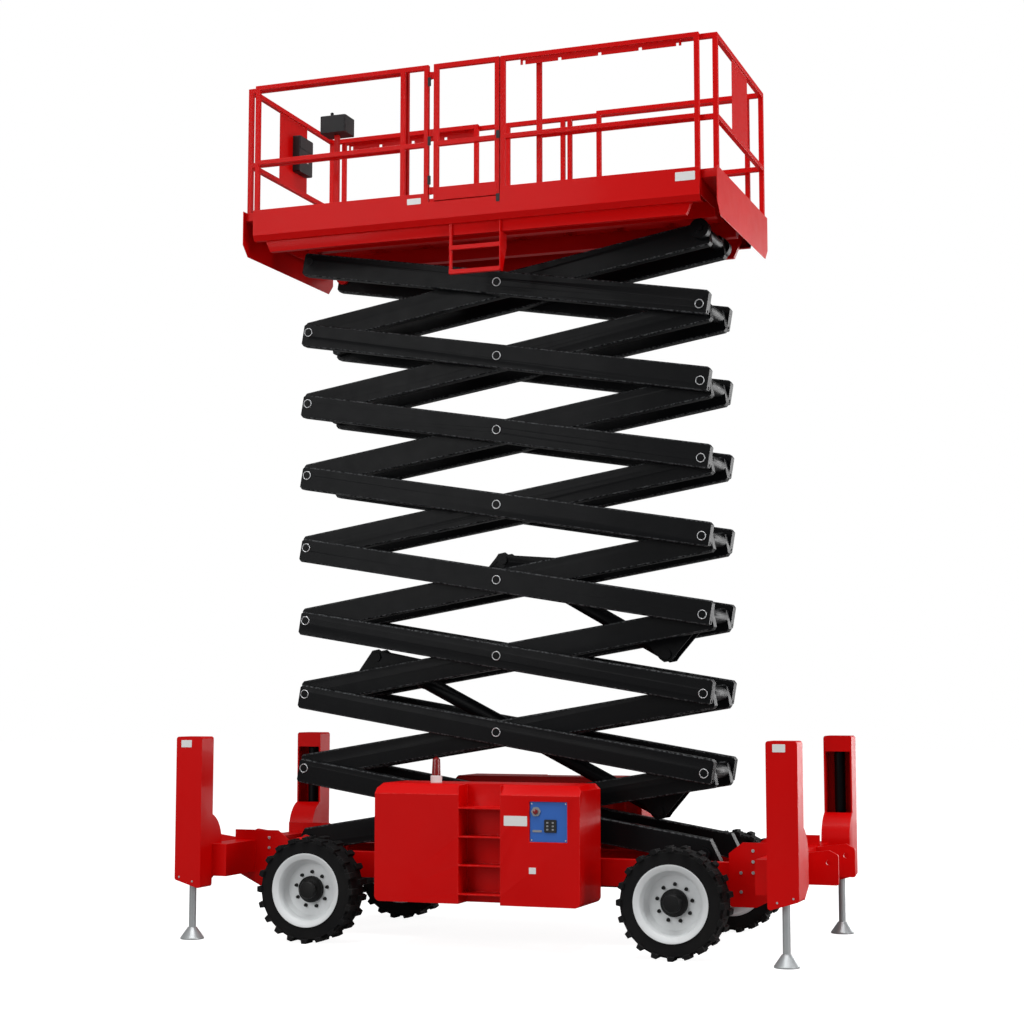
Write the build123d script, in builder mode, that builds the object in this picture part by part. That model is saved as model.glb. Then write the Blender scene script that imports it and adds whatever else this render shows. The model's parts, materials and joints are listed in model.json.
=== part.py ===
from build123d import *
import os
from math import atan2, cos, degrees, hypot, radians, sin

# Rough-terrain scissor lift, millimetres.
# X runs along the machine towards the steered axle, -Y is the entry side, Z is up from the ground.
os.makedirs("parts", exist_ok=True)


def write(build, node):
    """Label one finished sub-part and write it under its own name."""
    build.part.label = node
    export_step(build.part, f"parts/{node}.step")


# ---------------------------------------------------------------- scissor stack
stage_count = 8
pin_distance = 3522.0          # lower pin to upper pin of every arm
lift_angle = 10.16             # slope of the pin line as the machine stands
pivot_x = -1803.5              # pinned end, at the drive axle
pivot_z = 740.0
beam_depth = 200.0
beam_width = 95.0
beam_wall = 6.0
beam_chamfer = 22.0
beam_edge = 12.0               # rounding along the tube's long edges
lower_pin_drop = 20.0          # lower pin lies under the beam's centre line
upper_pin_rise = 25.0          # upper pin lies over it
lower_overhang = 65.0
upper_overhang = 50.0
foot_overhang = 140.0          # lowest arms run on past their lower pins
foot_cut_run = 120.0           # slanted end of the lowest arms
foot_cut_rise = 165.0
inner_beam_y = 200.0           # near face of the inner beam from the centre line
arm_gap = 10.0                 # between the inner and the outer beam
pin_radius = 30.0
boss_radius = 36.0
boss_proud = 6.0
running_gap = 0.06
seat_gap = 0.3
cross_tube_radius = 55.0
vent_height = 24.0
vent_width = 30.0

outer_beam_y = inner_beam_y + beam_width + arm_gap
outer_face_y = outer_beam_y + beam_width
pin_end_y = outer_face_y + boss_proud
stage_rise = pin_distance * sin(radians(lift_angle))
slide_x = pivot_x + pin_distance * cos(radians(lift_angle))
mid_x = (pivot_x + slide_x) / 2
top_z = pivot_z + stage_count * stage_rise
beam_tilt = degrees(atan2(lower_pin_drop + upper_pin_rise, pin_distance))


def stage_z(stage):
    """Height of the lower pins of a stage, counted from 0 at the chassis."""
    return pivot_z + stage * stage_rise


def arm_plane(stage, rising, slope=lift_angle):
    """Plane of an arm: origin on its lower pin, x up along the slope, y square to it."""
    slope_x = cos(radians(slope))
    slope_z = sin(radians(slope))
    if rising:
        return Plane((pivot_x, 0, stage_z(stage)), x_dir=(slope_x, 0, slope_z), z_dir=(0, -1, 0))
    return Plane((slide_x, 0, stage_z(stage)), x_dir=(-slope_x, 0, slope_z), z_dir=(0, 1, 0))


pin_places = [(0, 0), (pin_distance / 2, 0), (pin_distance, 0)]


def arm_beam(stage, rising, near_y):
    """Closed rectangular tube of an arm, with solid bushes at its three pins."""
    plane = arm_plane(stage, rising)
    axes = arm_plane(stage, rising, lift_angle - beam_tilt)
    lower_end = -(lower_overhang if stage else foot_overhang)
    upper_end = pin_distance + upper_overhang
    middle = (lower_end + upper_end) / 2
    length = upper_end - lower_end
    cut_run = beam_chamfer if stage else foot_cut_run
    cut_rise = beam_chamfer if stage else foot_cut_rise
    low = lower_pin_drop - beam_depth / 2
    high = lower_pin_drop + beam_depth / 2
    with BuildPart() as beam:
        # side view of the tube
        with BuildSketch(axes.offset(near_y)):
            with BuildLine():
                Polyline(
                    (lower_end, low + beam_chamfer / 2),
                    (lower_end, high - cut_rise),
                    (lower_end + cut_run, high),
                    (upper_end - beam_chamfer, high),
                    (upper_end, high - beam_chamfer),
                    (upper_end, low + beam_chamfer),
                    (upper_end - beam_chamfer, low),
                    (lower_end + beam_chamfer / 2, low),
                    close=True,
                )
            make_face()
        extrude(amount=beam_width)
        # its rounded section
        start = axes.from_local_coords((lower_end, lower_pin_drop, near_y + beam_width / 2))
        with BuildSketch(Plane(start, x_dir=axes.y_dir, z_dir=axes.x_dir)):
            RectangleRounded(beam_depth, beam_width, beam_edge)
        extrude(amount=length, mode=Mode.INTERSECT)
        # hollow, with a drain slot at the lower end
        with BuildSketch(axes.offset(near_y + beam_wall)):
            with Locations((middle + (cut_run - beam_chamfer) / 2, lower_pin_drop)):
                Rectangle(length - 2 * beam_wall - cut_run - beam_chamfer, beam_depth - 2 * beam_wall)
        extrude(amount=beam_width - 2 * beam_wall, mode=Mode.SUBTRACT)
        with BuildSketch(axes.offset(near_y + (beam_width - vent_width) / 2)):
            with Locations((lower_end, low + (beam_depth - foot_cut_rise + vent_height) / 2)):
                Rectangle(2 * (beam_wall + cut_run + beam_wall), vent_height)
        extrude(amount=vent_width, mode=Mode.SUBTRACT)
        with BuildSketch(plane.offset(near_y)):
            with Locations(*pin_places):
                Circle(boss_radius)
        extrude(amount=beam_width)
    return beam.part


# lift cylinder brackets on the rising arms, in arm coordinates from the lower pin
# columns: stage, pin along the arm, pin off the pin line, near root, far root, near tube, far tube
bracket_table = [
    (0, 3020.0, -235.0, -170.0, 300.0, 120.0, 240.0),
    (2, 3092.0, -230.0, -170.0, 300.0, 120.0, 240.0),
    (2, 571.0, 220.0, -250.0, 520.0, -190.0, -60.0),
    (3, 1735.0, 193.0, -250.0, 650.0, -190.0, -60.0),
]
bracket_near_y = 75.0
bracket_plate = 15.0
bracket_nose = 60.0
bracket_pin_radius = 25.0
bracket_tube_radius = 30.0
bracket_tube_off = 38.0


def bracket(plane, along, off, near_root, far_root, near_tube, far_tube):
    """Pair of plates on two cross tubes, with a stub boss for the cylinder's pin."""
    toward = 1 if off > 0 else -1
    with BuildPart() as piece:
        with BuildSketch(plane.offset(bracket_near_y)):
            with BuildLine():
                Polyline(
                    (along + near_root, 0),
                    (along + near_root, toward * (bracket_tube_off + bracket_tube_radius)),
                    (along - bracket_nose, off + toward * bracket_nose / 2),
                    (along - bracket_nose / 2, off + toward * bracket_nose),
                    (along + bracket_nose / 2, off + toward * bracket_nose),
                    (along + bracket_nose, off + toward * bracket_nose / 2),
                    (along + far_root, toward * (bracket_tube_off + bracket_tube_radius)),
                    (along + far_root, 0),
                    close=True,
                )
            make_face()
        extrude(amount=bracket_plate)
        with BuildSketch(plane.offset(bracket_near_y + bracket_plate)):
            with Locations((along, off)):
                Circle(bracket_pin_radius + bracket_plate)
        extrude(amount=bracket_plate)
        mirror(about=Plane.XZ)
        with BuildSketch(plane.offset(-inner_beam_y)):
            with Locations(
                (along + near_tube, toward * bracket_tube_off),
                (along + far_tube, toward * bracket_tube_off),
            ):
                Circle(bracket_tube_radius)
        extrude(amount=2 * inner_beam_y)
        if off < 0:
            with BuildSketch(plane.offset(-bracket_near_y)):
                with Locations((along, off)):
                    Circle(bracket_pin_radius)
            extrude(amount=2 * bracket_near_y)
    return piece.part


def inner_arm(stage, roller=None):
    """Rising arm: two inner beams, their pins and the tubes that join them."""
    plane = arm_plane(stage, True)
    beam = arm_beam(stage, True, inner_beam_y)
    brackets = [bracket(plane, *place) for at_stage, *place in bracket_table if at_stage == stage]
    with BuildPart() as arm:
        add(beam)
        with BuildSketch(plane.offset(inner_beam_y)):
            with Locations(*pin_places):
                Circle(pin_radius)
        extrude(amount=pin_end_y - inner_beam_y)
        if roller:
            with BuildSketch(plane.offset(outer_beam_y)):
                with Locations((pin_distance, 0)):
                    Circle(roller)
            extrude(amount=beam_width - arm_gap)
        mirror(about=Plane.XZ)
        with BuildSketch(plane.offset(-inner_beam_y)):
            with Locations(pin_places[0], pin_places[2]):
                Circle(cross_tube_radius)
        extrude(amount=2 * inner_beam_y)
        add(brackets)
    return arm


def outer_arm(stage, roller=None):
    """Falling arm: two outer beams with bored bushes, standing proud as bright rings."""
    plane = arm_plane(stage, False)
    beam = arm_beam(stage, False, outer_beam_y)
    with BuildPart() as arm:
        add(beam)
        with BuildSketch(plane.offset(outer_face_y)):
            with Locations(*pin_places):
                Circle(boss_radius)
        extrude(amount=boss_proud)
        with BuildSketch(plane.offset(outer_beam_y)):
            with Locations(*(pin_places[1:] if roller else pin_places)):
                Circle(pin_radius + running_gap)
        extrude(amount=beam_width + boss_proud, mode=Mode.SUBTRACT)
        if roller:
            with BuildSketch(plane.offset(outer_face_y + boss_proud)):
                Circle(roller)
            extrude(amount=lower_roller_width)
        mirror(about=Plane.XZ)
    return arm


lower_roller = 50.0
lower_roller_width = 50.0
upper_roller = 80.0
for stage in range(stage_count):
    top_stage = stage == stage_count - 1
    write(inner_arm(stage, upper_roller if top_stage else None), f"inner_arm_{stage + 1}")
    write(outer_arm(stage, None if stage else lower_roller), f"outer_arm_{stage + 1}")

# ---------------------------------------------------------------- outrigger sizes
column_x = 2450.0
column_y = 1100.0
column_length = 235.0          # along the machine
column_depth = 195.0           # across it
column_wall = 8.0
column_foot_z = 410.0
column_foot_rise = 70.0        # the outer end of the slanted foot is higher
column_top_z = 1635.0
window_bottom_z = 860.0
window_top_z = 1505.0
window_margin = 14.0
jack_tube_radius = 45.0
leg_radius = 28.5
leg_bottom_z = 60.0
leg_top_z = 1150.0
foot_radius = 95.0
foot_rim = 12.0
foot_neck = 36.0
foot_height = 95.0
beam_low_z = 500.0
beam_high_z = 760.0
beam_root_run = 132.5          # cross beam's near face, inboard of the column
beam_side_length = 190.0
beam_plate = 10.0
flare_rise = 240.0             # root between the column and the cross beam
flare_reach = 155.0
flare_drop = 65.0
column_corner = 22.0
side_plate = 12.0
side_plate_length = 320.0      # forward of the cross beam along the chassis rail
side_plate_rise = 85.0
side_plate_drop = 145.0
side_plate_cut = 110.0
side_plate_corner = 35.0
column_near_x = column_x - column_length / 2
column_far_x = column_x + column_length / 2
column_inner_y = column_y - column_depth / 2
column_outer_y = column_y + column_depth / 2
beam_near_x = column_near_x - beam_root_run
beam_far_x = beam_near_x + beam_side_length
tow_lug_y = 375.0
tow_lug_plate = 30.0
tow_lug_reach = 310.0
tow_lug_low_z = 530.0
tow_lug_high_z = 792.0
tow_lug_corner = 36.0
tow_lug_root_cut = 70.0
tow_bore_radius = 22.0
tow_bore_inset = 72.0          # from the lug's free end
tow_bore_z = 700.0

# ---------------------------------------------------------------- chassis frame
rail_near_y = 410.0
rail_width = 80.0
rail_wall = 8.0
rail_top = pivot_z - lower_roller - seat_gap
rail_bottom = 480.0
belly_plate = 10.0
belly_inset = 60.0
lug_thickness = 40.0
lug_width = 130.0
lug_boss = 50.0
cross_member = 90.0
cross_member_top = 570.0
cross_member_xs = [-2050.0, -1000.0, 0.0, 1000.0, 2050.0]
rail_back_x = -beam_near_x
rail_front_x = beam_near_x
rail_face_y = rail_near_y + rail_width
rail_height = rail_top - rail_bottom
rail_mid_x = (rail_back_x + rail_front_x) / 2
rail_length = rail_front_x - rail_back_x

with BuildPart() as chassis_frame:
    # two channel rails, open towards the middle
    with BuildSketch(Plane.YZ.offset(rail_back_x)):
        with Locations((rail_near_y + rail_width / 2, rail_bottom + rail_height / 2)):
            Rectangle(rail_width, rail_height)
        with Locations((rail_near_y + (rail_width - rail_wall) / 2, rail_bottom + rail_height / 2)):
            Rectangle(rail_width - rail_wall, rail_height - 2 * rail_wall, mode=Mode.SUBTRACT)
    extrude(amount=rail_length)
    # pivot lugs of the lowest arms, standing on the floor plate and bossed out to the rails
    with BuildSketch(Plane.XZ.offset(-outer_beam_y - lug_thickness)):
        with Locations((pivot_x, (rail_bottom + belly_plate + pivot_z) / 2)):
            Rectangle(lug_width, pivot_z - rail_bottom - belly_plate)
        with Locations((pivot_x, pivot_z)):
            Circle(lug_width / 2)
    extrude(amount=lug_thickness)
    with BuildSketch(Plane.XZ.offset(-rail_face_y)):
        with Locations((pivot_x, (rail_top + pivot_z) / 2)):
            Rectangle(2 * lug_boss, pivot_z - rail_top)
        with Locations((pivot_x, pivot_z)):
            Circle(lug_boss)
    extrude(amount=rail_face_y - outer_beam_y)
    with BuildSketch(Plane.XZ.offset(-rail_near_y)):
        with Locations((pivot_x, pivot_z)):
            Circle(pin_radius + running_gap)
    extrude(amount=rail_near_y - outer_beam_y, mode=Mode.SUBTRACT)
    mirror(about=Plane.XZ)
write(chassis_frame, "chassis_frame")

with BuildPart() as chassis_floor:
    # floor plate between the rails, and the cross members that stand on their lower flanges
    with BuildSketch(Plane.XY.offset(rail_bottom)):
        with Locations((rail_mid_x, 0)):
            Rectangle(rail_length - 2 * belly_inset, 2 * rail_near_y)
    extrude(amount=belly_plate)
    with BuildSketch(Plane.XY.offset(rail_bottom + rail_wall)):
        with Locations(*[(x, 0) for x in cross_member_xs]):
            Rectangle(cross_member, 2 * (rail_face_y - rail_wall))
    extrude(amount=cross_member_top - rail_bottom - rail_wall)
write(chassis_floor, "chassis_floor")

# ---------------------------------------------------------------- outriggers
def outrigger_pair(side):
    """Cross beam with a jack column at each end; side is -1 or +1 along the machine."""
    with BuildPart() as pair:
        # column, closed all round before its window is cut
        with BuildSketch(Plane.XZ.offset(column_inner_y)):
            with BuildLine():
                Polyline(
                    (side * column_near_x, column_foot_z),
                    (side * column_far_x, column_foot_z + column_foot_rise),
                    (side * column_far_x, column_top_z),
                    (side * column_near_x, column_top_z),
                    close=True,
                )
            face = make_face()
            fillet(face.vertices(), column_corner)
        extrude(amount=column_depth)
        # root that curves out of the column into the cross beam
        with BuildSketch(Plane.YZ.offset(side * column_x - column_length / 2)):
            with BuildLine():
                top = Line((-column_inner_y, beam_high_z + flare_rise), (-column_inner_y - column_wall, beam_high_z + flare_rise))
                back = Line(top @ 1, (-column_inner_y - column_wall, column_foot_z + column_foot_rise))
                foot = Line(back @ 1, (-column_inner_y, column_foot_z + column_foot_rise))
                under = Line(foot @ 1, (-column_inner_y + flare_reach, beam_low_z + flare_drop))
                face_line = Line(under @ 1, (-column_inner_y + flare_reach, beam_high_z))
                RadiusArc(face_line @ 1, top @ 0, -flare_rise)
            make_face()
        extrude(amount=column_length)
        # hollow inside of the column with its window towards the middle
        with BuildSketch(Plane.XY.offset(column_foot_z + column_foot_rise)):
            with Locations((side * column_x, -column_y)):
                Rectangle(column_length - 2 * column_wall, column_depth - 2 * column_wall)
        extrude(amount=column_top_z - column_foot_z - column_foot_rise - column_wall, mode=Mode.SUBTRACT)
        with BuildSketch(Plane.XZ.offset(column_inner_y)):
            with Locations((side * column_x, (window_bottom_z + window_top_z) / 2)):
                Rectangle(column_length - 2 * window_margin, window_top_z - window_bottom_z)
        extrude(amount=column_wall, mode=Mode.SUBTRACT)
        # jack tube between the top plate and the foot
        with BuildSketch(Plane.XY.offset(column_foot_z + column_foot_rise)):
            with Locations((side * column_x, -column_y)):
                Circle(jack_tube_radius)
        extrude(amount=column_top_z - column_foot_z - column_foot_rise - column_wall)
        with BuildSketch(Plane.XY.offset(column_foot_z)):
            with Locations((side * column_x, -column_y)):
                Circle(leg_radius + running_gap)
        extrude(amount=column_top_z - column_foot_z - 2 * column_wall, mode=Mode.SUBTRACT)
        # bolted plate from the cross beam along the chassis rail
        with BuildSketch(Plane.XZ.offset(rail_face_y)):
            with BuildLine():
                Polyline(
                    (side * beam_far_x, beam_high_z + side_plate_rise),
                    (side * (beam_near_x - side_plate_length + side_plate_cut), beam_high_z + side_plate_rise),
                    (side * (beam_near_x - side_plate_length), beam_high_z),
                    (side * (beam_near_x - side_plate_length), beam_low_z - side_plate_drop),
                    (side * (beam_near_x - side_plate_cut), beam_low_z - side_plate_drop),
                    (side * beam_far_x, beam_low_z),
                    close=True,
                )
            face = make_face()
            fillet(face.vertices().group_by(Axis.Y)[0], side_plate_corner)
        extrude(amount=side_plate)
        mirror(about=Plane.XZ)
        # cross beam, a box section
        with BuildSketch(Plane.XZ.offset(-column_inner_y)):
            with Locations((side * (beam_near_x + beam_far_x) / 2, (beam_low_z + beam_high_z) / 2)):
                Rectangle(beam_far_x - beam_near_x, beam_high_z - beam_low_z)
                Rectangle(
                    beam_far_x - beam_near_x - 2 * beam_plate,
                    beam_high_z - beam_low_z - 2 * beam_plate,
                    mode=Mode.SUBTRACT,
                )
        extrude(amount=2 * column_inner_y)
        # tow lugs
        for lug_y in (-tow_lug_y, tow_lug_y - tow_lug_plate):
            with BuildSketch(Plane.XZ.offset(-lug_y)):
                with BuildLine():
                    Polyline(
                        (side * beam_far_x, tow_lug_low_z),
                        (side * (beam_far_x + tow_lug_reach), tow_lug_low_z),
                        (side * (beam_far_x + tow_lug_reach), tow_lug_high_z - tow_lug_corner),
                        (side * (beam_far_x + tow_lug_reach - tow_lug_root_cut), tow_lug_high_z),
                        (side * beam_far_x, beam_high_z),
                        close=True,
                    )
                lug = make_face()
                fillet(lug.vertices().sort_by(Axis.X)[-3:] if side > 0 else lug.vertices().sort_by(Axis.X)[:3], tow_lug_corner / 2)
                with Locations((side * (beam_far_x + tow_lug_reach - tow_bore_inset), tow_bore_z)):
                    Circle(tow_bore_radius, mode=Mode.SUBTRACT)
            extrude(amount=-tow_lug_plate)
    return pair


def jack_leg(side, hand):
    """Bright leg with its flared round foot; hand is -1 on the entry side."""
    with BuildPart() as leg:
        with BuildSketch(Plane.XZ.offset(-hand * column_y)):
            with BuildLine():
                Polyline(
                    (side * column_x, 0),
                    (side * column_x + foot_radius, 0),
                    (side * column_x + foot_radius, foot_rim),
                    (side * column_x + foot_neck, foot_height),
                    (side * column_x + leg_radius, foot_height),
                    (side * column_x + leg_radius, leg_top_z),
                    (side * column_x, leg_top_z),
                    close=True,
                )
            make_face()
        revolve(axis=Axis((side * column_x, hand * column_y, 0), (0, 0, 1)))
    return leg


for side, end in ((-1, "rear"), (1, "front")):
    write(outrigger_pair(side), f"{end}_outriggers")
    for hand, flank in ((-1, "right"), (1, "left")):
        write(jack_leg(side, hand), f"{end}_{flank}_jack")

# ---------------------------------------------------------------- lift cylinders
# columns: name, tail stage, tail along, tail off, head stage, head along, head off,
#          barrel length, rod length
cylinder_table = [
    ("lower", 0, 3020.0, -235.0, 2, 571.0, 220.0, 2370.0, 1600.0),
    ("upper", 2, 3092.0, -230.0, 3, 1735.0, 193.0, 1370.0, 1250.0),
]
barrel_radius = 62.0
barrel_bore = 52.0
rod_radius = 36.0
gland_radius = 66.0
gland_length = 60.0
eye_radius = 45.0
eye_half_width = 60.0
barrel_base = 110.0

for name, tail_stage, tail_u, tail_v, head_stage, head_u, head_v, barrel_length, rod_length in cylinder_table:
    tail = arm_plane(tail_stage, True).from_local_coords((tail_u, tail_v, 0))
    head = arm_plane(head_stage, True).from_local_coords((head_u, head_v, 0))
    pin_to_pin = (head - tail).length
    along = Plane(tail, x_dir=(head - tail).normalized(), z_dir=(0, -1, 0))
    across = Plane(tail, x_dir=(0, 1, 0), z_dir=(head - tail).normalized())
    with BuildPart() as barrel:
        with BuildSketch(across.offset(eye_radius)):
            Circle(barrel_radius)
        extrude(amount=barrel_length - eye_radius)
        with BuildSketch(across.offset(barrel_length - gland_length)):
            Circle(gland_radius)
        extrude(amount=gland_length)
        with BuildSketch(along.offset(-eye_half_width)):
            Circle(eye_radius)
            with Locations((eye_radius, 0)):
                Rectangle(2 * eye_radius, 2 * eye_radius)
        extrude(amount=2 * eye_half_width)
        with BuildSketch(across.offset(barrel_base)):
            Circle(barrel_bore)
        extrude(amount=barrel_length - barrel_base - gland_length, mode=Mode.SUBTRACT)
        with BuildSketch(across.offset(barrel_length - gland_length)):
            Circle(rod_radius + running_gap)
        extrude(amount=gland_length, mode=Mode.SUBTRACT)
        with BuildSketch(along.offset(-eye_half_width)):
            Circle(bracket_pin_radius + running_gap)
        extrude(amount=2 * eye_half_width, mode=Mode.SUBTRACT)
    write(barrel, f"{name}_cylinder_barrel")
    with BuildPart() as rod:
        with BuildSketch(across.offset(pin_to_pin - rod_length)):
            Circle(rod_radius)
        extrude(amount=rod_length - eye_radius / 2)
        with BuildSketch(along.offset(-eye_half_width)):
            with Locations((pin_to_pin, 0)):
                Circle(eye_radius)
        extrude(amount=2 * eye_half_width)
        with BuildSketch(across.offset(pin_to_pin - rod_length)):
            Circle(barrel_bore - running_gap)
        extrude(amount=gland_length)
    write(rod, f"{name}_cylinder_rod")

# ---------------------------------------------------------------- side compartments
box_near_x = -833.0
box_far_x = 872.0
box_face_y = 1100.0
box_back_y = 575.0
box_low_z = 362.0
box_high_z = 1280.0
box_bevel = 79.0
box_corner = 45.0
box_cut = 40.0
box_wall = 6.0
step_near_x = -121.0
step_far_x = 224.0
step_depth = 190.0
step_levels = [430.0, 650.0, 870.0, 1090.0]
step_plate = 12.0
panel_near_x = 464.0
panel_far_x = 770.0
panel_low_z = 851.0
panel_high_z = 1158.0
panel_depth = 26.0
panel_sheet = 12.0
hanger_width = 90.0
hanger_xs = [-650.0, 680.0]
box_mid_x = (box_near_x + box_far_x) / 2
box_mid_z = (box_low_z + box_high_z) / 2


def compartment(side):
    """Closed sheet housing hung beside the chassis; side is -1 on the entry side."""
    with BuildPart() as shell:
        with BuildSketch(Plane.XZ.offset(box_back_y)):
            with Locations((box_mid_x, box_mid_z)):
                outline = Rectangle(box_far_x - box_near_x, box_high_z - box_low_z)
            fillet(outline.vertices().group_by(Axis.Y)[0], box_corner)
            chamfer(vertices().group_by(Axis.Y)[-1], box_cut)
        extrude(amount=box_face_y - box_back_y)
        with BuildSketch(Plane.YZ.offset(box_near_x)):
            with BuildLine():
                Polyline(
                    (-box_face_y, box_high_z - box_bevel),
                    (-box_face_y, box_high_z),
                    (-box_face_y + box_bevel, box_high_z),
                    close=True,
                )
            make_face()
        extrude(amount=box_far_x - box_near_x, mode=Mode.SUBTRACT)
        with BuildSketch(Plane.XZ.offset(box_back_y)):
            with Locations((box_mid_x, box_mid_z)):
                Rectangle(
                    box_far_x - box_near_x - 2 * box_corner,
                    box_high_z - box_low_z - 2 * box_bevel,
                )
        extrude(amount=box_face_y - box_back_y - box_wall, mode=Mode.SUBTRACT)
        with BuildSketch(Plane.XZ.offset(box_face_y - step_depth - box_wall)):
            with Locations(((step_near_x + step_far_x) / 2, box_mid_z)):
                Rectangle(
                    step_far_x - step_near_x + 2 * box_wall,
                    box_high_z - box_low_z - 2 * box_wall,
                )
        extrude(amount=step_depth)
        with BuildSketch(Plane.XZ.offset(box_face_y - step_depth)):
            with Locations(((step_near_x + step_far_x) / 2, box_mid_z)):
                Rectangle(step_far_x - step_near_x, box_high_z - box_low_z)
        extrude(amount=step_depth, mode=Mode.SUBTRACT)
        for level in step_levels:
            with BuildSketch(Plane.XY.offset(level)):
                with Locations(((step_near_x + step_far_x) / 2, -box_face_y + step_depth / 2)):
                    Rectangle(step_far_x - step_near_x, step_depth)
            extrude(amount=step_plate)
        with BuildSketch(Plane.XZ.offset(box_face_y - panel_depth - box_wall)):
            with Locations(((panel_near_x + panel_far_x) / 2, (panel_low_z + panel_high_z) / 2)):
                Rectangle(
                    panel_far_x - panel_near_x + 2 * box_wall,
                    panel_high_z - panel_low_z + 2 * box_wall,
                )
        extrude(amount=panel_depth)
        with BuildSketch(Plane.XZ.offset(box_face_y - panel_depth)):
            with Locations(((panel_near_x + panel_far_x) / 2, (panel_low_z + panel_high_z) / 2)):
                Rectangle(panel_far_x - panel_near_x, panel_high_z - panel_low_z)
        extrude(amount=panel_depth, mode=Mode.SUBTRACT)
        # hangers from the chassis rail
        with BuildSketch(Plane.XZ.offset(rail_face_y)):
            with Locations(*[(x, (rail_top + rail_bottom) / 2) for x in hanger_xs]):
                Rectangle(hanger_width, rail_height - 2 * rail_wall)
        extrude(amount=box_back_y - rail_face_y)
        with BuildSketch(Plane.XZ.offset(box_back_y)):
            with Locations(*[(x, box_mid_z) for x in hanger_xs]):
                Rectangle(hanger_width, box_high_z - box_low_z - 2 * box_bevel + box_wall)
        extrude(amount=box_wall)
        if side > 0:
            mirror(about=Plane.XZ, mode=Mode.REPLACE)
    return shell


write(compartment(-1), "entry_compartment")
write(compartment(1), "engine_compartment")

with BuildPart() as control_panel:
    with BuildSketch(Plane.XZ.offset(box_face_y - panel_depth)):
        with Locations(((panel_near_x + panel_far_x) / 2, (panel_low_z + panel_high_z) / 2)):
            Rectangle(panel_far_x - panel_near_x, panel_high_z - panel_low_z)
    extrude(amount=panel_sheet)
write(control_panel, "control_panel")

beacon_x = -410.0
beacon_y = 850.0
beacon_base_radius = 46.0
beacon_base_height = 55.0
beacon_lens_radius = 37.0
beacon_lens_height = 130.0
beacon_crown_radius = 30.0
beacon_crown_height = 22.0
with BuildPart() as beacon:
    with BuildSketch(Plane.XZ.offset(beacon_y)):
        with BuildLine():
            Polyline(
                (beacon_x, box_high_z),
                (beacon_x + beacon_base_radius, box_high_z),
                (beacon_x + beacon_base_radius, box_high_z + beacon_base_height),
                (beacon_x + beacon_lens_radius, box_high_z + beacon_base_height),
                (beacon_x + beacon_crown_radius, box_high_z + beacon_base_height + beacon_lens_height),
                (beacon_x, box_high_z + beacon_base_height + beacon_lens_height + beacon_crown_height),
                close=True,
            )
        make_face()
    revolve(axis=Axis((beacon_x, -beacon_y, 0), (0, 0, 1)))
write(beacon, "beacon")

# ---------------------------------------------------------------- axles and wheels
wheel_z = 419.0
drive_x = -1446.0
steer_x = 1572.0
kingpin_y = 700.0
kingpin_radius = 28.0
axle_radius = 55.0
axle_box = 150.0
axle_post_width = 160.0
yoke_height = 240.0
yoke_plate = 30.0
yoke_length = 150.0
spindle_radius = 45.0
spindle_end_y = 985.0
hub_flange_y = 800.0
tyre_radius = 419.0
tyre_outer_y = 1100.0
tyre_inner_y = 800.0
tread_radius = 401.0
shoulder_radius = 384.0
bead_radius = 285.0
rim_radius = 292.0
lug_count = 20
lug_base = 56.0
lug_tip = 42.0
lug_reach = 128.0
lug_proud = 26.0                # lug ends over the sidewall
tread_inset = 42.0
rim_outer_y = 1083.0
rim_wall = 10.0
disc_y = 955.0
disc_plate = 12.0
hub_radius = 104.0
hub_base = 34.0
hub_cap_radius = 70.0
hub_inner_radius = 84.0
hub_end_y = 1052.0
hub_step = 18.0
tyre_mid_y = (tyre_outer_y + tyre_inner_y) / 2
bead_corner_radius = bead_radius / cos(radians(90 / lug_count))  # corners of the bore's flats


def wheel_plane(x, y):
    """Plane across a wheel's axle, facing the entry side."""
    return Plane((x, y, wheel_z), x_dir=(1, 0, 0), z_dir=(0, -1, 0))


def tyre(x, hand):
    """Flat-sided carcass with alternating block lugs over both shoulders, a lug on every other flat."""
    carcass_sides = 2 * lug_count
    half_pitch = 180 / carcass_sides
    # columns: y, radius over the corners
    sections = [
        (-tyre_outer_y + lug_proud, shoulder_radius),
        (-tyre_outer_y + tread_inset, tread_radius),
        (-tyre_inner_y - tread_inset, tread_radius),
        (-tyre_inner_y - lug_proud, shoulder_radius),
    ]
    with BuildPart() as piece:
        for (near_y, near_radius), (far_y, far_radius) in zip(sections, sections[1:]):
            with BuildSketch(wheel_plane(x, near_y)):
                RegularPolygon(near_radius, carcass_sides, rotation=half_pitch)
            with BuildSketch(wheel_plane(x, far_y)):
                RegularPolygon(far_radius, carcass_sides, rotation=half_pitch)
            loft(ruled=True)
        with BuildSketch(wheel_plane(x, -tyre_inner_y)):
            RegularPolygon(bead_corner_radius, carcass_sides, rotation=half_pitch)
        extrude(amount=tyre_outer_y - tyre_inner_y, mode=Mode.SUBTRACT)
        for low_y, phase in ((-tyre_inner_y - lug_reach, 0.5), (-tyre_outer_y, 0.0)):
            with BuildSketch(wheel_plane(x, low_y + lug_reach)):
                with PolarLocations(0, lug_count, start_angle=360 / lug_count * phase):
                    Polygon(
                        (shoulder_radius, -lug_base / 2),
                        (tyre_radius, -lug_tip / 2),
                        (tyre_radius, lug_tip / 2),
                        (shoulder_radius, lug_base / 2),
                        align=None,
                    )
            extrude(amount=lug_reach)
        if hand > 0:
            mirror(about=Plane.XZ, mode=Mode.REPLACE)
    return piece


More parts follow.
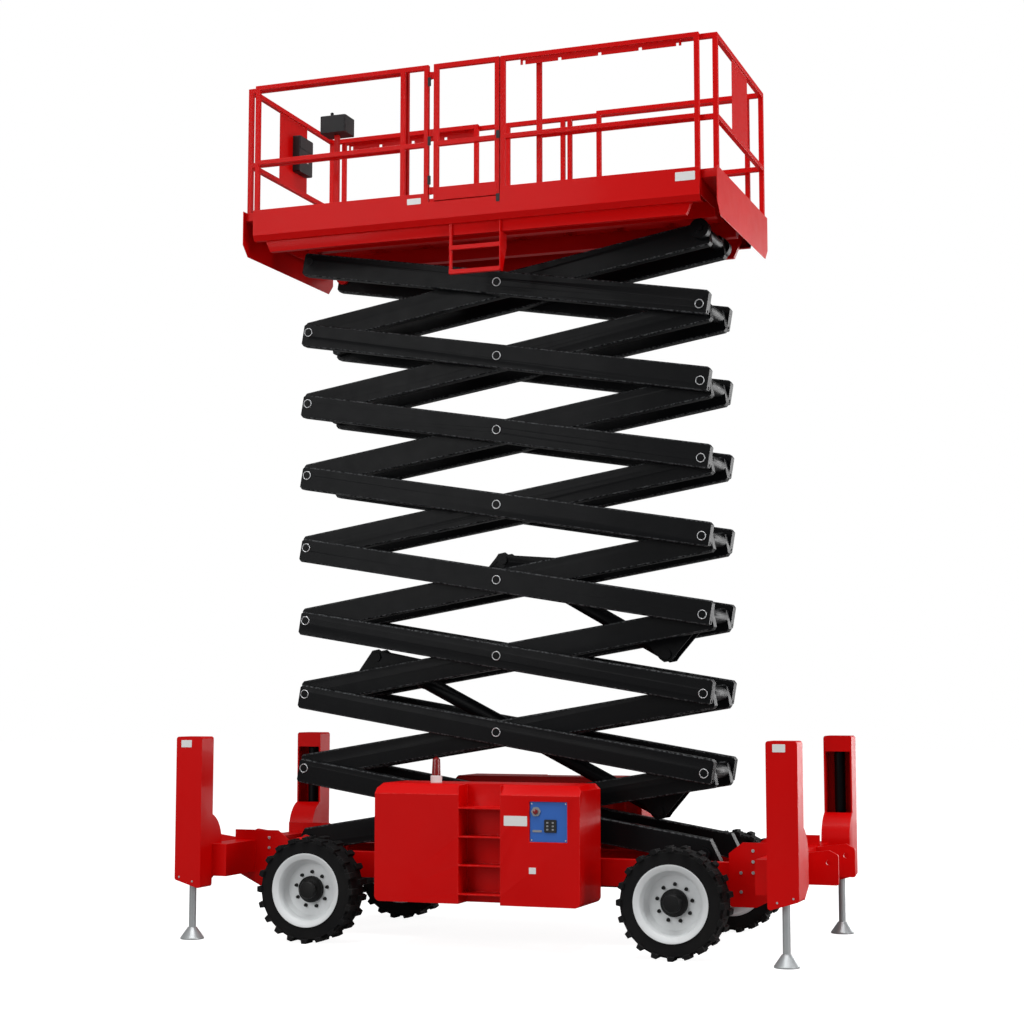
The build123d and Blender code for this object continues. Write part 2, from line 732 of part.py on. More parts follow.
def wheel(x, hand):
    """Dished steel rim with the planetary hub that turns with it."""
    with BuildPart() as piece:
        with BuildSketch(Plane.YZ.offset(x)):
            with BuildLine():
                Polyline(
                    (-rim_outer_y, wheel_z + rim_radius),
                    (-rim_outer_y, wheel_z + rim_radius - rim_wall),
                    (-rim_outer_y + 2 * rim_wall, wheel_z + bead_radius - 4 * rim_wall),
                    (-disc_y - 3 * rim_wall, wheel_z + bead_radius - 5 * rim_wall),
                    (-disc_y, wheel_z + bead_radius - 8 * rim_wall),
                    (-disc_y, wheel_z + hub_radius),
                    (-disc_y - hub_base, wheel_z + hub_radius),
                    (-disc_y - hub_base - hub_step, wheel_z + hub_cap_radius),
                    (-hub_end_y + hub_step / 2, wheel_z + hub_cap_radius),
                    (-hub_end_y, wheel_z + hub_cap_radius - hub_step / 2),
                    (-hub_end_y, wheel_z),
                    (-spindle_end_y - running_gap, wheel_z),
                    (-spindle_end_y - running_gap, wheel_z + spindle_radius + running_gap),
                    (-hub_flange_y, wheel_z + spindle_radius + running_gap),
                    (-hub_flange_y, wheel_z + hub_inner_radius),
                    (-disc_y + disc_plate, wheel_z + hub_inner_radius + hub_step),
                    (-disc_y + disc_plate, wheel_z + bead_radius - 7 * rim_wall),
                    (-tyre_inner_y - lug_proud, wheel_z + bead_radius - 2 * rim_wall),
                    (-tyre_inner_y - lug_proud, wheel_z + bead_radius),
                    (-rim_outer_y + rim_wall / 2, wheel_z + bead_radius),
                    (-rim_outer_y + rim_wall / 2, wheel_z + rim_radius),
                    close=True,
                )
            make_face()
        revolve(axis=Axis((x, 0, wheel_z), (0, 1, 0)))
        if hand > 0:
            mirror(about=Plane.XZ, mode=Mode.REPLACE)
    return piece


for end, x in (("drive", drive_x), ("steer", steer_x)):
    for hand, flank in ((-1, "right"), (1, "left")):
        write(tyre(x, hand), f"{end}_{flank}_tyre")
        write(wheel(x, hand), f"{end}_{flank}_wheel")

with BuildPart() as drive_axle:
    with BuildSketch(Plane.XZ.offset(-hub_flange_y + 5)):
        with Locations((drive_x, wheel_z)):
            Circle(axle_radius)
    extrude(amount=2 * (hub_flange_y - 5))
    with BuildSketch(Plane.XZ.offset(-spindle_end_y)):
        with Locations((drive_x, wheel_z)):
            Circle(spindle_radius)
    extrude(amount=2 * spindle_end_y)
    with BuildSketch(Plane.XY.offset(wheel_z)):
        with Locations((drive_x, rail_near_y + rail_width / 2), (drive_x, -rail_near_y - rail_width / 2)):
            Rectangle(axle_post_width, rail_width)
    extrude(amount=rail_bottom - wheel_z)
write(drive_axle, "drive_axle")

with BuildPart() as steer_axle:
    with BuildSketch(Plane.XZ.offset(-kingpin_y + yoke_length / 2 + 5)):
        with Locations((steer_x, wheel_z)):
            Rectangle(axle_box, axle_box * 0.8)
    extrude(amount=2 * (kingpin_y - yoke_length / 2 - 5))
    with BuildSketch(Plane.XY.offset(wheel_z)):
        with Locations((steer_x, rail_near_y + rail_width / 2), (steer_x, -rail_near_y - rail_width / 2)):
            Rectangle(axle_post_width, rail_width)
    extrude(amount=rail_bottom - wheel_z)
    for hand in (-1, 1):
        with BuildSketch(Plane.XY.offset(wheel_z - yoke_height / 2)):
            with Locations((steer_x, hand * kingpin_y)):
                Circle(kingpin_radius)
        extrude(amount=yoke_height)
        for low in (wheel_z - yoke_height / 2, wheel_z + yoke_height / 2 - yoke_plate):
            with BuildSketch(Plane.XY.offset(low)):
                with Locations((steer_x, hand * (kingpin_y - yoke_length / 2))):
                    Rectangle(axle_box, yoke_length)
                with Locations((steer_x, hand * kingpin_y)):
                    Circle(axle_box / 2)
            extrude(amount=yoke_plate)
        with BuildSketch(Plane.XY.offset(wheel_z - yoke_height / 2)):
            with Locations((steer_x, hand * (kingpin_y - yoke_length + yoke_plate / 2))):
                Rectangle(axle_box, yoke_plate)
        extrude(amount=yoke_height)
write(steer_axle, "steer_axle")

knuckle_half = 62.0
knuckle_height = yoke_height - 2 * yoke_plate - 4
for hand, flank in ((-1, "right"), (1, "left")):
    with BuildPart() as knuckle:
        with BuildSketch(Plane.XY.offset(wheel_z - knuckle_height / 2)):
            with Locations((steer_x, hand * kingpin_y)):
                Circle(knuckle_half)
            with Locations((steer_x, hand * (kingpin_y + knuckle_half / 2 + 10))):
                Rectangle(2 * knuckle_half, knuckle_half + 20)
        extrude(amount=knuckle_height)
        with BuildSketch(Plane.XZ.offset(-hand * (kingpin_y + knuckle_half))):
            with Locations((steer_x, wheel_z)):
                Circle(spindle_radius)
        extrude(amount=-hand * (spindle_end_y - kingpin_y - knuckle_half))
        with BuildSketch(Plane.XY.offset(wheel_z - knuckle_height / 2)):
            with Locations((steer_x, hand * kingpin_y)):
                Circle(kingpin_radius + running_gap)
        extrude(amount=knuckle_height, mode=Mode.SUBTRACT)
    write(knuckle, f"{flank}_knuckle")

# ---------------------------------------------------------------- platform deck
deck_back_x = -2100.0
deck_front_x = 1800.0
deck_half_width = 884.0
fascia_rise = 98.0             # fascia's lower edge over the top pins
fascia_fold = 45.0             # slanted strip under the fold line
fascia_slant = 30.0
fascia_upstand = 82.0          # over the floor
fascia_plate = 6.0
fascia_lip = 40.0
floor_rise = 182.0             # floor over the fascia's lower edge
deck_sheet = 5.0
joist_width = 50.0
joist_height = 70.0
joist_count = 9
joist_inset = 120.0
member_inset = 70.0            # side member under the joists, inboard of the fascia
member_width = 50.0
member_drop = 90.0             # its lower edge under the fascia's
deck_rail_near_y = 310.0
deck_rail_width = 85.0
deck_rail_low = top_z + upper_roller + seat_gap
deck_rail_back_x = -1740.0
deck_lug_plate = 30.0
deck_lug_width = 120.0
tread_panel_length = 1050.0
tread_panel_half_width = 790.0
tread_panel_sheet = 4.0
deck_length = deck_front_x - deck_back_x
deck_mid_x = (deck_front_x + deck_back_x) / 2
deck_lug_y = outer_beam_y - arm_gap
fascia_low_z = top_z + fascia_rise
deck_floor_z = fascia_low_z + floor_rise
deck_top_z = deck_floor_z + deck_sheet
fascia_high_z = deck_floor_z + fascia_upstand
member_y = deck_half_width - member_inset - member_width / 2
joist_low_z = deck_floor_z - joist_height
joist_pitch = (deck_length - 2 * joist_inset) / (joist_count - 1)
joist_xs = [deck_back_x + joist_inset + i * joist_pitch for i in range(joist_count)]

# ---------------------------------------------------------------- guardrail lines
tube = 40.0
guard_height = 1168.0          # top of the guardrail over the floor
mid_rail_height = 495.0
slide_gap = 6.0
end_panel_half = 270.0
end_panel_sheet = 4.0
gate_post_x = -514.0
latch_post_x = 158.0
gate_near_x = -447.0
post_inset = 20.0
inner_post_x = -726.0
far_post_xs = [-436.0, 92.0, 158.0]
rail_line_y = deck_half_width - fascia_plate - tube / 2
post_back_x = deck_back_x + fascia_plate + tube / 2
post_front_x = deck_front_x - post_inset
rail_high_z = deck_floor_z + guard_height
top_rail_z = rail_high_z - tube / 2
mid_rail_z = deck_floor_z + mid_rail_height
# sliding extensions; columns: node prefix, side along the machine, inboard end, outboard end
extension_table = [
    ("rear_extension", -1, -700.0, -2196.0),
    ("extension", 1, 430.0, 1942.0),
]
tread_panel_front_x = extension_table[1][2] - slide_gap
tread_panel_back_x = tread_panel_front_x - tread_panel_length

with BuildPart() as deck:
    # floor sheet on its joists
    with BuildSketch(Plane.XY.offset(deck_floor_z)):
        with Locations((deck_mid_x, 0)):
            Rectangle(deck_length, 2 * deck_half_width)
    extrude(amount=deck_sheet)
    with BuildSketch(Plane.XY.offset(joist_low_z)):
        with Locations(*[(x, 0) for x in joist_xs]):
            Rectangle(joist_width, 2 * (deck_half_width - fascia_plate))
    extrude(amount=joist_height)
    # folded fascia of the long side, with its lip turned in
    with BuildSketch(Plane.YZ.offset(deck_back_x)):
        with BuildLine():
            Polyline(
                (-deck_half_width, fascia_high_z),
                (-deck_half_width, fascia_low_z + fascia_fold),
                (-deck_half_width + fascia_slant, fascia_low_z),
                (-deck_half_width + fascia_slant + fascia_lip, fascia_low_z),
                (-deck_half_width + fascia_slant + fascia_lip, fascia_low_z + fascia_plate),
                (-deck_half_width + fascia_slant + fascia_plate, fascia_low_z + fascia_plate),
                (-deck_half_width + fascia_plate, fascia_low_z + fascia_fold),
                (-deck_half_width + fascia_plate, fascia_high_z),
                close=True,
            )
        make_face()
    extrude(amount=deck_length)
    # side member under the joists, its ends cut back
    with BuildSketch(Plane.XZ.offset(member_y - member_width / 2)):
        with BuildLine():
            Polyline(
                (deck_back_x + fascia_lip, joist_low_z),
                (deck_back_x + fascia_lip + member_drop, fascia_low_z - member_drop),
                (deck_front_x - fascia_lip - member_drop, fascia_low_z - member_drop),
                (deck_front_x - fascia_lip, joist_low_z),
                close=True,
            )
        make_face()
    extrude(amount=member_width)
    # channel in which the stack's upper rollers run
    with BuildSketch(Plane.XY.offset(deck_rail_low)):
        with Locations(((deck_rail_back_x + deck_front_x) / 2, -deck_rail_near_y - deck_rail_width / 2)):
            Rectangle(deck_front_x - deck_rail_back_x, deck_rail_width)
    extrude(amount=joist_low_z - deck_rail_low)
    # lug and pin on which the falling arm carries the deck
    with BuildSketch(Plane.XZ.offset(deck_lug_y - deck_lug_plate)):
        with Locations((pivot_x, (top_z + deck_floor_z) / 2)):
            Rectangle(deck_lug_width, deck_floor_z - top_z)
        with Locations((pivot_x, top_z)):
            Circle(deck_lug_width / 2)
    extrude(amount=deck_lug_plate)
    with BuildSketch(Plane.XZ.offset(deck_lug_y - deck_lug_plate)):
        with Locations((pivot_x, top_z)):
            Circle(pin_radius)
    extrude(amount=pin_end_y - deck_lug_y + deck_lug_plate)
    mirror(about=Plane.XZ)
    # fascia cut down to the floor under the gate
    with BuildSketch(Plane.XZ.offset(deck_half_width - fascia_plate)):
        with Locations(((gate_post_x + latch_post_x) / 2, (deck_top_z + fascia_high_z) / 2)):
            Rectangle(latch_post_x - gate_post_x - tube, fascia_high_z - deck_top_z)
    extrude(amount=fascia_plate, mode=Mode.SUBTRACT)
    # closed ends under the floor
    for x in (deck_back_x, deck_front_x - fascia_plate):
        with BuildSketch(Plane.YZ.offset(x)):
            with Locations((0, (fascia_low_z + fascia_fold + deck_floor_z) / 2)):
                Rectangle(2 * (deck_half_width - fascia_plate), deck_floor_z - fascia_low_z - fascia_fold)
        extrude(amount=fascia_plate)
    # raised tread panel between the two extensions
    with BuildSketch(Plane.XY.offset(deck_top_z)):
        with Locations(((tread_panel_back_x + tread_panel_front_x) / 2, 0)):
            Rectangle(tread_panel_length, 2 * tread_panel_half_width)
    extrude(amount=tread_panel_sheet)
write(deck, "platform_deck")

# ---------------------------------------------------------------- guardrails
def bar_x(near, far, y, z):
    """Square tube along the machine."""
    with BuildPart() as bar:
        with BuildSketch(Plane.YZ.offset(near)):
            with Locations((y, z)):
                Rectangle(tube, tube)
        extrude(amount=far - near)
    return bar.part


def bar_y(x, near, far, z):
    """Square tube across the machine."""
    with BuildPart() as bar:
        with BuildSketch(Plane.XZ.offset(-near)):
            with Locations((x, z)):
                Rectangle(tube, tube)
        extrude(amount=near - far)
    return bar.part


def bar_z(x, y, low, high):
    """Upright square tube."""
    with BuildPart() as bar:
        with BuildSketch(Plane.XY.offset(low)):
            with Locations((x, y)):
                Rectangle(tube, tube)
        extrude(amount=high - low)
    return bar.part


entry_post_xs = (post_back_x, inner_post_x, gate_post_x, latch_post_x, post_front_x)
side_bars = [bar_z(x, -rail_line_y, deck_top_z, rail_high_z) for x in entry_post_xs]
side_bars += [bar_z(x, rail_line_y, deck_top_z, rail_high_z) for x in (post_back_x, *far_post_xs, post_front_x)]
for z in (top_rail_z, mid_rail_z):
    side_bars.append(bar_x(post_back_x, gate_post_x, -rail_line_y, z))
    side_bars.append(bar_x(latch_post_x, post_front_x, -rail_line_y, z))
    side_bars.append(bar_x(post_back_x, post_front_x, rail_line_y, z))

# notched plates under the top rail, one for each extension
# columns: side of the deck, back end, front end
notch_table = [
    (-1, 308.0, 1658.0),
    (1, -2028.0, -719.0),
]
notch_plate_height = 52.0
notch_plate_sheet = 8.0
notch_hook_width = 22.0
notch_hook_gap = 20.0
notch_hook_drop = 18.0
notch_count = 3
notch_width = 26.0
notch_depth = 24.0
with BuildPart() as guardrails:
    add(side_bars)
    for hand, near_x, far_x in notch_table:
        length = far_x - near_x
        low_z = rail_high_z - tube - notch_plate_height
        with BuildSketch(Plane.XZ.offset(-hand * rail_line_y - notch_plate_sheet / 2)):
            with Locations(((near_x + far_x) / 2, low_z + notch_plate_height / 2)):
                Rectangle(length, notch_plate_height)
                Rectangle(
                    length - 2 * notch_hook_width,
                    notch_plate_height,
                    mode=Mode.SUBTRACT,
                )
                Rectangle(length - 2 * (notch_hook_width + notch_hook_gap), notch_plate_height)
            with Locations(((near_x + far_x) / 2, low_z + notch_plate_height - notch_hook_drop / 2)):
                Rectangle(length, notch_hook_drop)
            with Locations(((near_x + far_x) / 2, low_z + notch_depth / 2)):
                with GridLocations(length / (notch_count + 1), notch_plate_height, notch_count, 1):
                    Rectangle(notch_width, notch_depth, mode=Mode.SUBTRACT)
        extrude(amount=notch_plate_sheet)
write(guardrails, "guardrails")

# ---------------------------------------------------------------- entry gate
gate_gap = 8.0
gate_low_gap = 10.0
gate_toe_height = 110.0
gate_toe_sheet = 5.0
hinge_count = 3
hinge_radius = 14.0
hinge_height = 60.0
hinge_inset = 60.0
gate_low_z = deck_top_z + gate_low_gap
gate_hinge_x = gate_post_x + tube / 2 + hinge_radius + seat_gap
gate_left_x = gate_near_x + tube / 2
gate_right_x = latch_post_x - tube - gate_gap
hinge_pitch = (rail_high_z - gate_low_z - 2 * hinge_inset - hinge_height) / (hinge_count - 1)
gate_bars = [bar_z(x, -rail_line_y, gate_low_z, rail_high_z) for x in (gate_left_x, gate_right_x)]
for z in (top_rail_z, mid_rail_z, gate_low_z + tube / 2):
    gate_bars.append(bar_x(gate_left_x, gate_right_x, -rail_line_y, z))
with BuildPart() as gate:
    add(gate_bars)
    with BuildSketch(Plane.XZ.offset(rail_line_y + tube / 2)):
        with Locations(((gate_left_x + gate_right_x) / 2, gate_low_z + gate_toe_height / 2)):
            Rectangle(gate_right_x - gate_left_x, gate_toe_height)
    extrude(amount=gate_toe_sheet)
    for i in range(hinge_count):
        with BuildSketch(Plane.XY.offset(gate_low_z + hinge_inset + i * hinge_pitch)):
            with Locations((gate_hinge_x, -rail_line_y)):
                Circle(hinge_radius)
            with Locations(((gate_hinge_x + gate_left_x) / 2, -rail_line_y)):
                Rectangle(gate_left_x - gate_hinge_x, hinge_radius)
        extrude(amount=hinge_height)
write(gate, "entry_gate")

# ---------------------------------------------------------------- drop step under the gate
step_frame_near_x = -320.0
step_frame_far_x = 120.0
step_frame_inset = 26.0
rung_pitch = 200.0
rung_bar = 35.0
step_bar = 22.0
step_side_depth = 150.0
step_side_foot = 60.0
step_side_sheet = 8.0
step_y = -deck_half_width + fascia_slant + step_frame_inset
rung_zs = [fascia_low_z - rung_pitch, fascia_low_z - 2 * rung_pitch]
step_foot_z = rung_zs[-1] - rung_bar / 2
step_shoulder_y = -member_y - member_width / 2 - seat_gap
step_shoulder_z = fascia_low_z - member_drop - seat_gap
with BuildPart() as drop_step:
    # thin upright at one end, tapered plate at the other
    with BuildSketch(Plane.XY.offset(step_foot_z)):
        with Locations((step_frame_near_x + step_bar / 2, step_y)):
            Rectangle(step_bar, step_bar)
    extrude(amount=fascia_low_z - step_foot_z)
    with BuildSketch(Plane.YZ.offset(step_frame_far_x)):
        with BuildLine():
            Polyline(
                (step_y - rung_bar / 2, step_foot_z),
                (step_y - rung_bar / 2, fascia_low_z),
                (step_shoulder_y, fascia_low_z),
                (step_shoulder_y, step_shoulder_z),
                (step_y - rung_bar / 2 + step_side_depth, step_shoulder_z),
                (step_y - rung_bar / 2 + step_side_depth, fascia_low_z - rung_pitch),
                (step_y - rung_bar / 2 + step_side_foot, step_foot_z),
                close=True,
            )
        side = make_face()
        fillet(side.vertices().group_by(Axis.Y)[0], rung_bar / 2)
    extrude(amount=step_side_sheet)
    for z in rung_zs:
        with BuildSketch(Plane.YZ.offset(step_frame_near_x)):
            with Locations((step_y, z)):
                Rectangle(rung_bar, rung_bar)
        extrude(amount=step_frame_far_x - step_frame_near_x)
write(drop_step, "drop_step")

# ---------------------------------------------------------------- sliding extensions
ext_half_width = rail_line_y - tube / 2 - slide_gap
ext_sheet = 6.0
ext_kick = 70.0
ext_plate = 6.0
ext_plate_hang = 115.0         # under the fascia's lower edge
ext_plate_cut = 90.0
ext_floor_z = deck_top_z + seat_gap
ext_top_z = ext_floor_z + ext_sheet
ext_line_y = ext_half_width - ext_plate - slide_gap - tube / 2
ext_plate_low_z = fascia_low_z - ext_plate_hang


def extension_floor(side, inner_x, outer_x):
    """Floor sheet with its side kick plates and the hanging end plate."""
    with BuildPart() as floor:
        with BuildSketch(Plane.XY.offset(ext_floor_z)):
            with Locations(((inner_x + outer_x) / 2, 0)):
                Rectangle(abs(outer_x - inner_x), 2 * ext_half_width)
        extrude(amount=ext_sheet)
        with BuildSketch(Plane.XY.offset(ext_floor_z)):
            with Locations(((inner_x + outer_x) / 2, 0)):
                Rectangle(abs(outer_x - inner_x), 2 * ext_half_width)
                Rectangle(abs(outer_x - inner_x), 2 * (ext_half_width - ext_plate), mode=Mode.SUBTRACT)
        extrude(amount=ext_kick)
        with BuildSketch(Plane.YZ.offset(outer_x)):
            with Locations((0, (ext_plate_low_z + fascia_high_z) / 2)):
                plate = Rectangle(2 * deck_half_width, fascia_high_z - ext_plate_low_z)
            chamfer(plate.vertices().group_by(Axis.Y)[0], ext_plate_cut)
        extrude(amount=-side * ext_plate)
    return floor


def extension_frame(side, inner_x, outer_x):
    """Rails that slide with an extension, with the sheet panel in their closed end."""
    first_x = inner_x + side * tube / 2
    last_x = outer_x - side * (ext_plate + tube / 2)
    low_x, high_x = sorted((first_x, last_x))
    bars = [bar_y(last_x, -ext_line_y, ext_line_y, z) for z in (top_rail_z, mid_rail_z)]
    for y in (-ext_line_y, ext_line_y):
        bars += [bar_z(x, y, ext_top_z, rail_high_z) for x in (first_x, last_x)]
        bars += [bar_x(low_x, high_x, y, z) for z in (top_rail_z, mid_rail_z)]
    with BuildPart() as rails:
        add(bars)
        with BuildSketch(Plane.YZ.offset(last_x)):
            with Locations((0, (top_rail_z + mid_rail_z) / 2)):
                Rectangle(2 * end_panel_half, top_rail_z - mid_rail_z)
        extrude(amount=side * end_panel_sheet)
    return rails


for prefix, side, inner_x, outer_x in extension_table:
    write(extension_floor(side, inner_x, outer_x), f"{prefix}_deck")
    write(extension_frame(side, inner_x, outer_x), f"{prefix}_rails")

# ---------------------------------------------------------------- boxes on the rear extension
control_x = -1500.0
control_y = -500.0
control_height = 770.0         # over the floor
control_length = 240.0
control_width = 200.0
control_depth = 150.0
control_corner = 20.0
control_z = ext_top_z + control_height
control_stand = bar_z(control_x, control_y, ext_top_z, control_z)
with BuildPart() as stand:
    add(control_stand)
write(stand, "control_stand")
with BuildPart() as control_box:
    with BuildSketch(Plane.XY.offset(control_z)):
        with Locations((control_x, control_y)):
            RectangleRounded(control_length, control_width, control_corner)
    extrude(amount=control_depth)
write(control_box, "control_box")

document_width = 260.0
document_height = 330.0
document_depth = 70.0
document_corner = 15.0
document_y = 110.0
document_x = extension_table[0][3] + ext_plate + tube / 2
with BuildPart() as document_box:
    with BuildSketch(Plane.YZ.offset(document_x)):
        with Locations((document_y, (top_rail_z + mid_rail_z) / 2)):
            RectangleRounded(document_width, document_height, document_corner)
    extrude(amount=document_depth)
write(document_box, "document_box")
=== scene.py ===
# %% [markdown]
# # Dressing a scissor lift
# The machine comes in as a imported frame: every steel piece is already at its real size and place,
# in metres, with +X towards the steered axle, -Y the side with the gate and +Z up.
# These cells give it its finish: paint, rubber, chrome, pins, bolts, plates and the little things
# on the control panels. Nothing that the frame fixes is moved.

import json
import math

import bmesh
import bpy
from mathutils import Matrix, Vector

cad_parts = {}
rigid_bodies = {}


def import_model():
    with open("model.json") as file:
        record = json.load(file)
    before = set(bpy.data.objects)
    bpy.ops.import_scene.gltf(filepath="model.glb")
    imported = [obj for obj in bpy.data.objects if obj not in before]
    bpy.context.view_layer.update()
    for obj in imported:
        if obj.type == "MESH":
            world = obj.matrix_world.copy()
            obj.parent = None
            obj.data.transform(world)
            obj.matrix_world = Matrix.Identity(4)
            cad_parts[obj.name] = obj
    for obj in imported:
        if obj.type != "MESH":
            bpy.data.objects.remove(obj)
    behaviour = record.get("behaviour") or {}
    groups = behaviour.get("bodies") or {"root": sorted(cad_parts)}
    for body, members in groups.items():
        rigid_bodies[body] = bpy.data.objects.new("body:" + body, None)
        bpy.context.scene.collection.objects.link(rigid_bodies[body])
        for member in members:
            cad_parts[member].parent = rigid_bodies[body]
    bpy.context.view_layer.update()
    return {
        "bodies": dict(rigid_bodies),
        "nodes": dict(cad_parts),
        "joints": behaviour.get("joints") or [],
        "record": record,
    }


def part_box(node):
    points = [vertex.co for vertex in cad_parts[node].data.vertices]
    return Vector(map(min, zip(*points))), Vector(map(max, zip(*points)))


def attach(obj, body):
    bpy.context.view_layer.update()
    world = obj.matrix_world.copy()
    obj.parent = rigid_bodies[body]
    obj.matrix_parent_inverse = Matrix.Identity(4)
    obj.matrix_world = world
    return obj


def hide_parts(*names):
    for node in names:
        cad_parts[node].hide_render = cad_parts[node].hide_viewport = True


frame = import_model()

# %% [markdown]
# ## Who moves with what
# Every piece that is added has to ride on one of the frame's bodies, so that it moves when the
# machine does. The record lists the nodes of each body. Turned round, it says which body a node
# belongs to, and the joints say where each pin is.

# %% Look up bodies and pins
body_of = {
    node: body
    for body, nodes in frame["record"]["behaviour"]["bodies"].items()
    for node in nodes
}
pin_at = {joint["name"]: Vector(joint["pos_m"]) for joint in frame["joints"] if joint.get("pos_m")}
stage_count = sum(name.startswith("inner_arm_") for name in frame["bodies"])
print(len(body_of), "nodes,", len(pin_at), "pins and", stage_count, "scissor stages")

# %% [markdown]
# ## The camera
# A long lens from just above eye height, well back and to the right, sees the whole tall stack
# with little tilt, so its uprights stay nearly upright. The place and the turn are set outright,
# because a tracking constraint would have to be baked before it could be read.

# %% Set the camera
lens = bpy.data.cameras.new("camera")
lens.lens = 66.92
lens.sensor_width = 36.0
camera = bpy.data.objects.new("camera", lens)
camera.location = (5.438, -14.989, 1.935)
camera.rotation_euler = (math.radians(95.634), 0, math.radians(20.214))
bpy.context.collection.objects.link(camera)
bpy.context.scene.camera = camera
print("camera at", tuple(camera.location))

# %% [markdown]
# ## The floor
# The floor is one pale sheet, which isn't part of the machine. It is white only where the camera
# sees it directly. The machine sees it grey, so that its underside stays dark. A Light Path node
# tells the two apart, and it stays in the material itself.

# %% Lay the floor
FLOOR_HALF = 60.0
FLOOR_GLOW, FLOOR_GREY = 0.93, 0.35


def pale_floor():
    """One wide square at the height of the ground, white to the eye and grey to the machine."""
    mesh = bpy.data.meshes.new("floor")
    corners = [(-FLOOR_HALF, -FLOOR_HALF, 0), (FLOOR_HALF, -FLOOR_HALF, 0)]
    corners += [(FLOOR_HALF, FLOOR_HALF, 0), (-FLOOR_HALF, FLOOR_HALF, 0)]
    mesh.from_pydata(corners, [], [(0, 1, 2, 3)])
    material = bpy.data.materials.new("floor")
    material.use_nodes = True
    tree = material.node_tree
    shader = tree.nodes["Principled BSDF"]
    shader.inputs["Base Color"].default_value = (FLOOR_GREY, FLOOR_GREY, FLOOR_GREY, 1.0)
    shader.inputs["Roughness"].default_value = 1.0
    shader.inputs["Specular IOR Level"].default_value = 0.0
    shader.inputs["Emission Color"].default_value = (1.0, 1.0, 1.0, 1.0)
    seen = tree.nodes.new("ShaderNodeLightPath")
    glow = tree.nodes.new("ShaderNodeMapRange")
    glow.inputs["To Max"].default_value = FLOOR_GLOW
    tree.links.new(seen.outputs["Is Camera Ray"], glow.inputs["Value"])
    tree.links.new(glow.outputs["Result"], shader.inputs["Emission Strength"])
    mesh.materials.append(material)
    floor = bpy.data.objects.new("floor", mesh)
    bpy.context.collection.objects.link(floor)


pale_floor()
print("floor:", 2 * FLOOR_HALF, "m square")

# %% [markdown]
# ## The lights
# Light for a glossy machine is a matter of large, soft sources: a small lamp gives a hot spot on
# every edge, and a large one gives a band of light that shows the form. One wide panel overhead,
# one from the front left and one from the right give the form. One more from behind grazes the
# ends and the upper edges, where even dark paint turns pale. A dim world fills the rest.

# %% Hang the lights


def soft_panel(name, place, aim, width, height, watts):
    """A rectangular area lamp at place that faces aim."""
    lamp = bpy.data.lights.new(name, "AREA")
    lamp.shape = "RECTANGLE"
    lamp.size = width
    lamp.size_y = height
    lamp.energy = watts
    holder = bpy.data.objects.new(name, lamp)
    holder.location = place
    holder.rotation_euler = (Vector(aim) - Vector(place)).to_track_quat("-Z", "Y").to_euler()
    bpy.context.collection.objects.link(holder)


soft_panel("overhead_panel", (2.0, -7.0, 28.0), (0, 0, 3.0), 20.0, 16.0, 5600)
soft_panel("front_left_panel", (-7.0, -14.0, 7.0), (0, 0, 3.0), 7.0, 9.0, 760)
soft_panel("right_panel", (14.0, -3.0, 6.0), (0, 0, 3.0), 5.0, 9.0, 900)
soft_panel("back_panel", (8.5, 15.0, 4.5), (2.0, 0, 3.0), 8.0, 9.0, 1000)

SEEN_WORLD, LIT_WORLD = 1.0, 0.22
world = bpy.data.worlds.new("pale_room")
world.use_nodes = True
background = world.node_tree.nodes["Background"]
background.inputs["Color"].default_value = (1.0, 1.0, 1.0, 1.0)
seen = world.node_tree.nodes.new("ShaderNodeLightPath")
strength = world.node_tree.nodes.new("ShaderNodeMapRange")
strength.inputs["To Min"].default_value = LIT_WORLD
strength.inputs["To Max"].default_value = SEEN_WORLD
world.node_tree.links.new(seen.outputs["Is Camera Ray"], strength.inputs["Value"])
world.node_tree.links.new(strength.outputs["Result"], background.inputs["Strength"])
bpy.context.scene.world = world
bpy.context.scene.view_settings.view_transform = "Standard"
print("four soft panels, and a world that is white to the eye and dim to the paint")

# %% [markdown]
# ## Finishes that several materials share
# Machines that work outdoors are never one even colour: dust settles low down, gloss paint has a
# fine ripple like orange peel, and edges rub bright. The edge rub also paints a pale highlight
# along the edges. Each of these effects is a node group with named sockets, built once, so that
# every material can use it with its own numbers. A group gives out only masks, colours and
# values. The shader itself stays in the material.

# %% A maker of node groups


def shade(red, green, blue):
    """A paint-card colour, 0 to 255 a channel, as the linear colour that shaders take."""
    return tuple((channel / 255) ** 2.2 for channel in (red, green, blue)) + (1.0,)


def new_group(name, inputs, outputs):
    """An empty shader group with named sockets: inputs are (name, type, value) rows."""
    tree = bpy.data.node_groups.new(name, "ShaderNodeTree")
    for socket_name, kind, value in inputs:
        socket = tree.interface.new_socket(socket_name, in_out="INPUT", socket_type=kind)
        if value is not None:
            socket.default_value = value
    for socket_name, kind in outputs:
        tree.interface.new_socket(socket_name, in_out="OUTPUT", socket_type=kind)
    return tree, tree.nodes.new("NodeGroupInput"), tree.nodes.new("NodeGroupOutput")


def maths(tree, operation, first, second=None):
    """A Math node whose inputs are sockets or numbers. Gives back its output socket."""
    node = tree.nodes.new("ShaderNodeMath")
    node.operation = operation
    for index, value in enumerate((first, second)):
        if isinstance(value, bpy.types.NodeSocket):
            tree.links.new(value, node.inputs[index])
        elif value is not None:
            node.inputs[index].default_value = value
    return node.outputs[0]


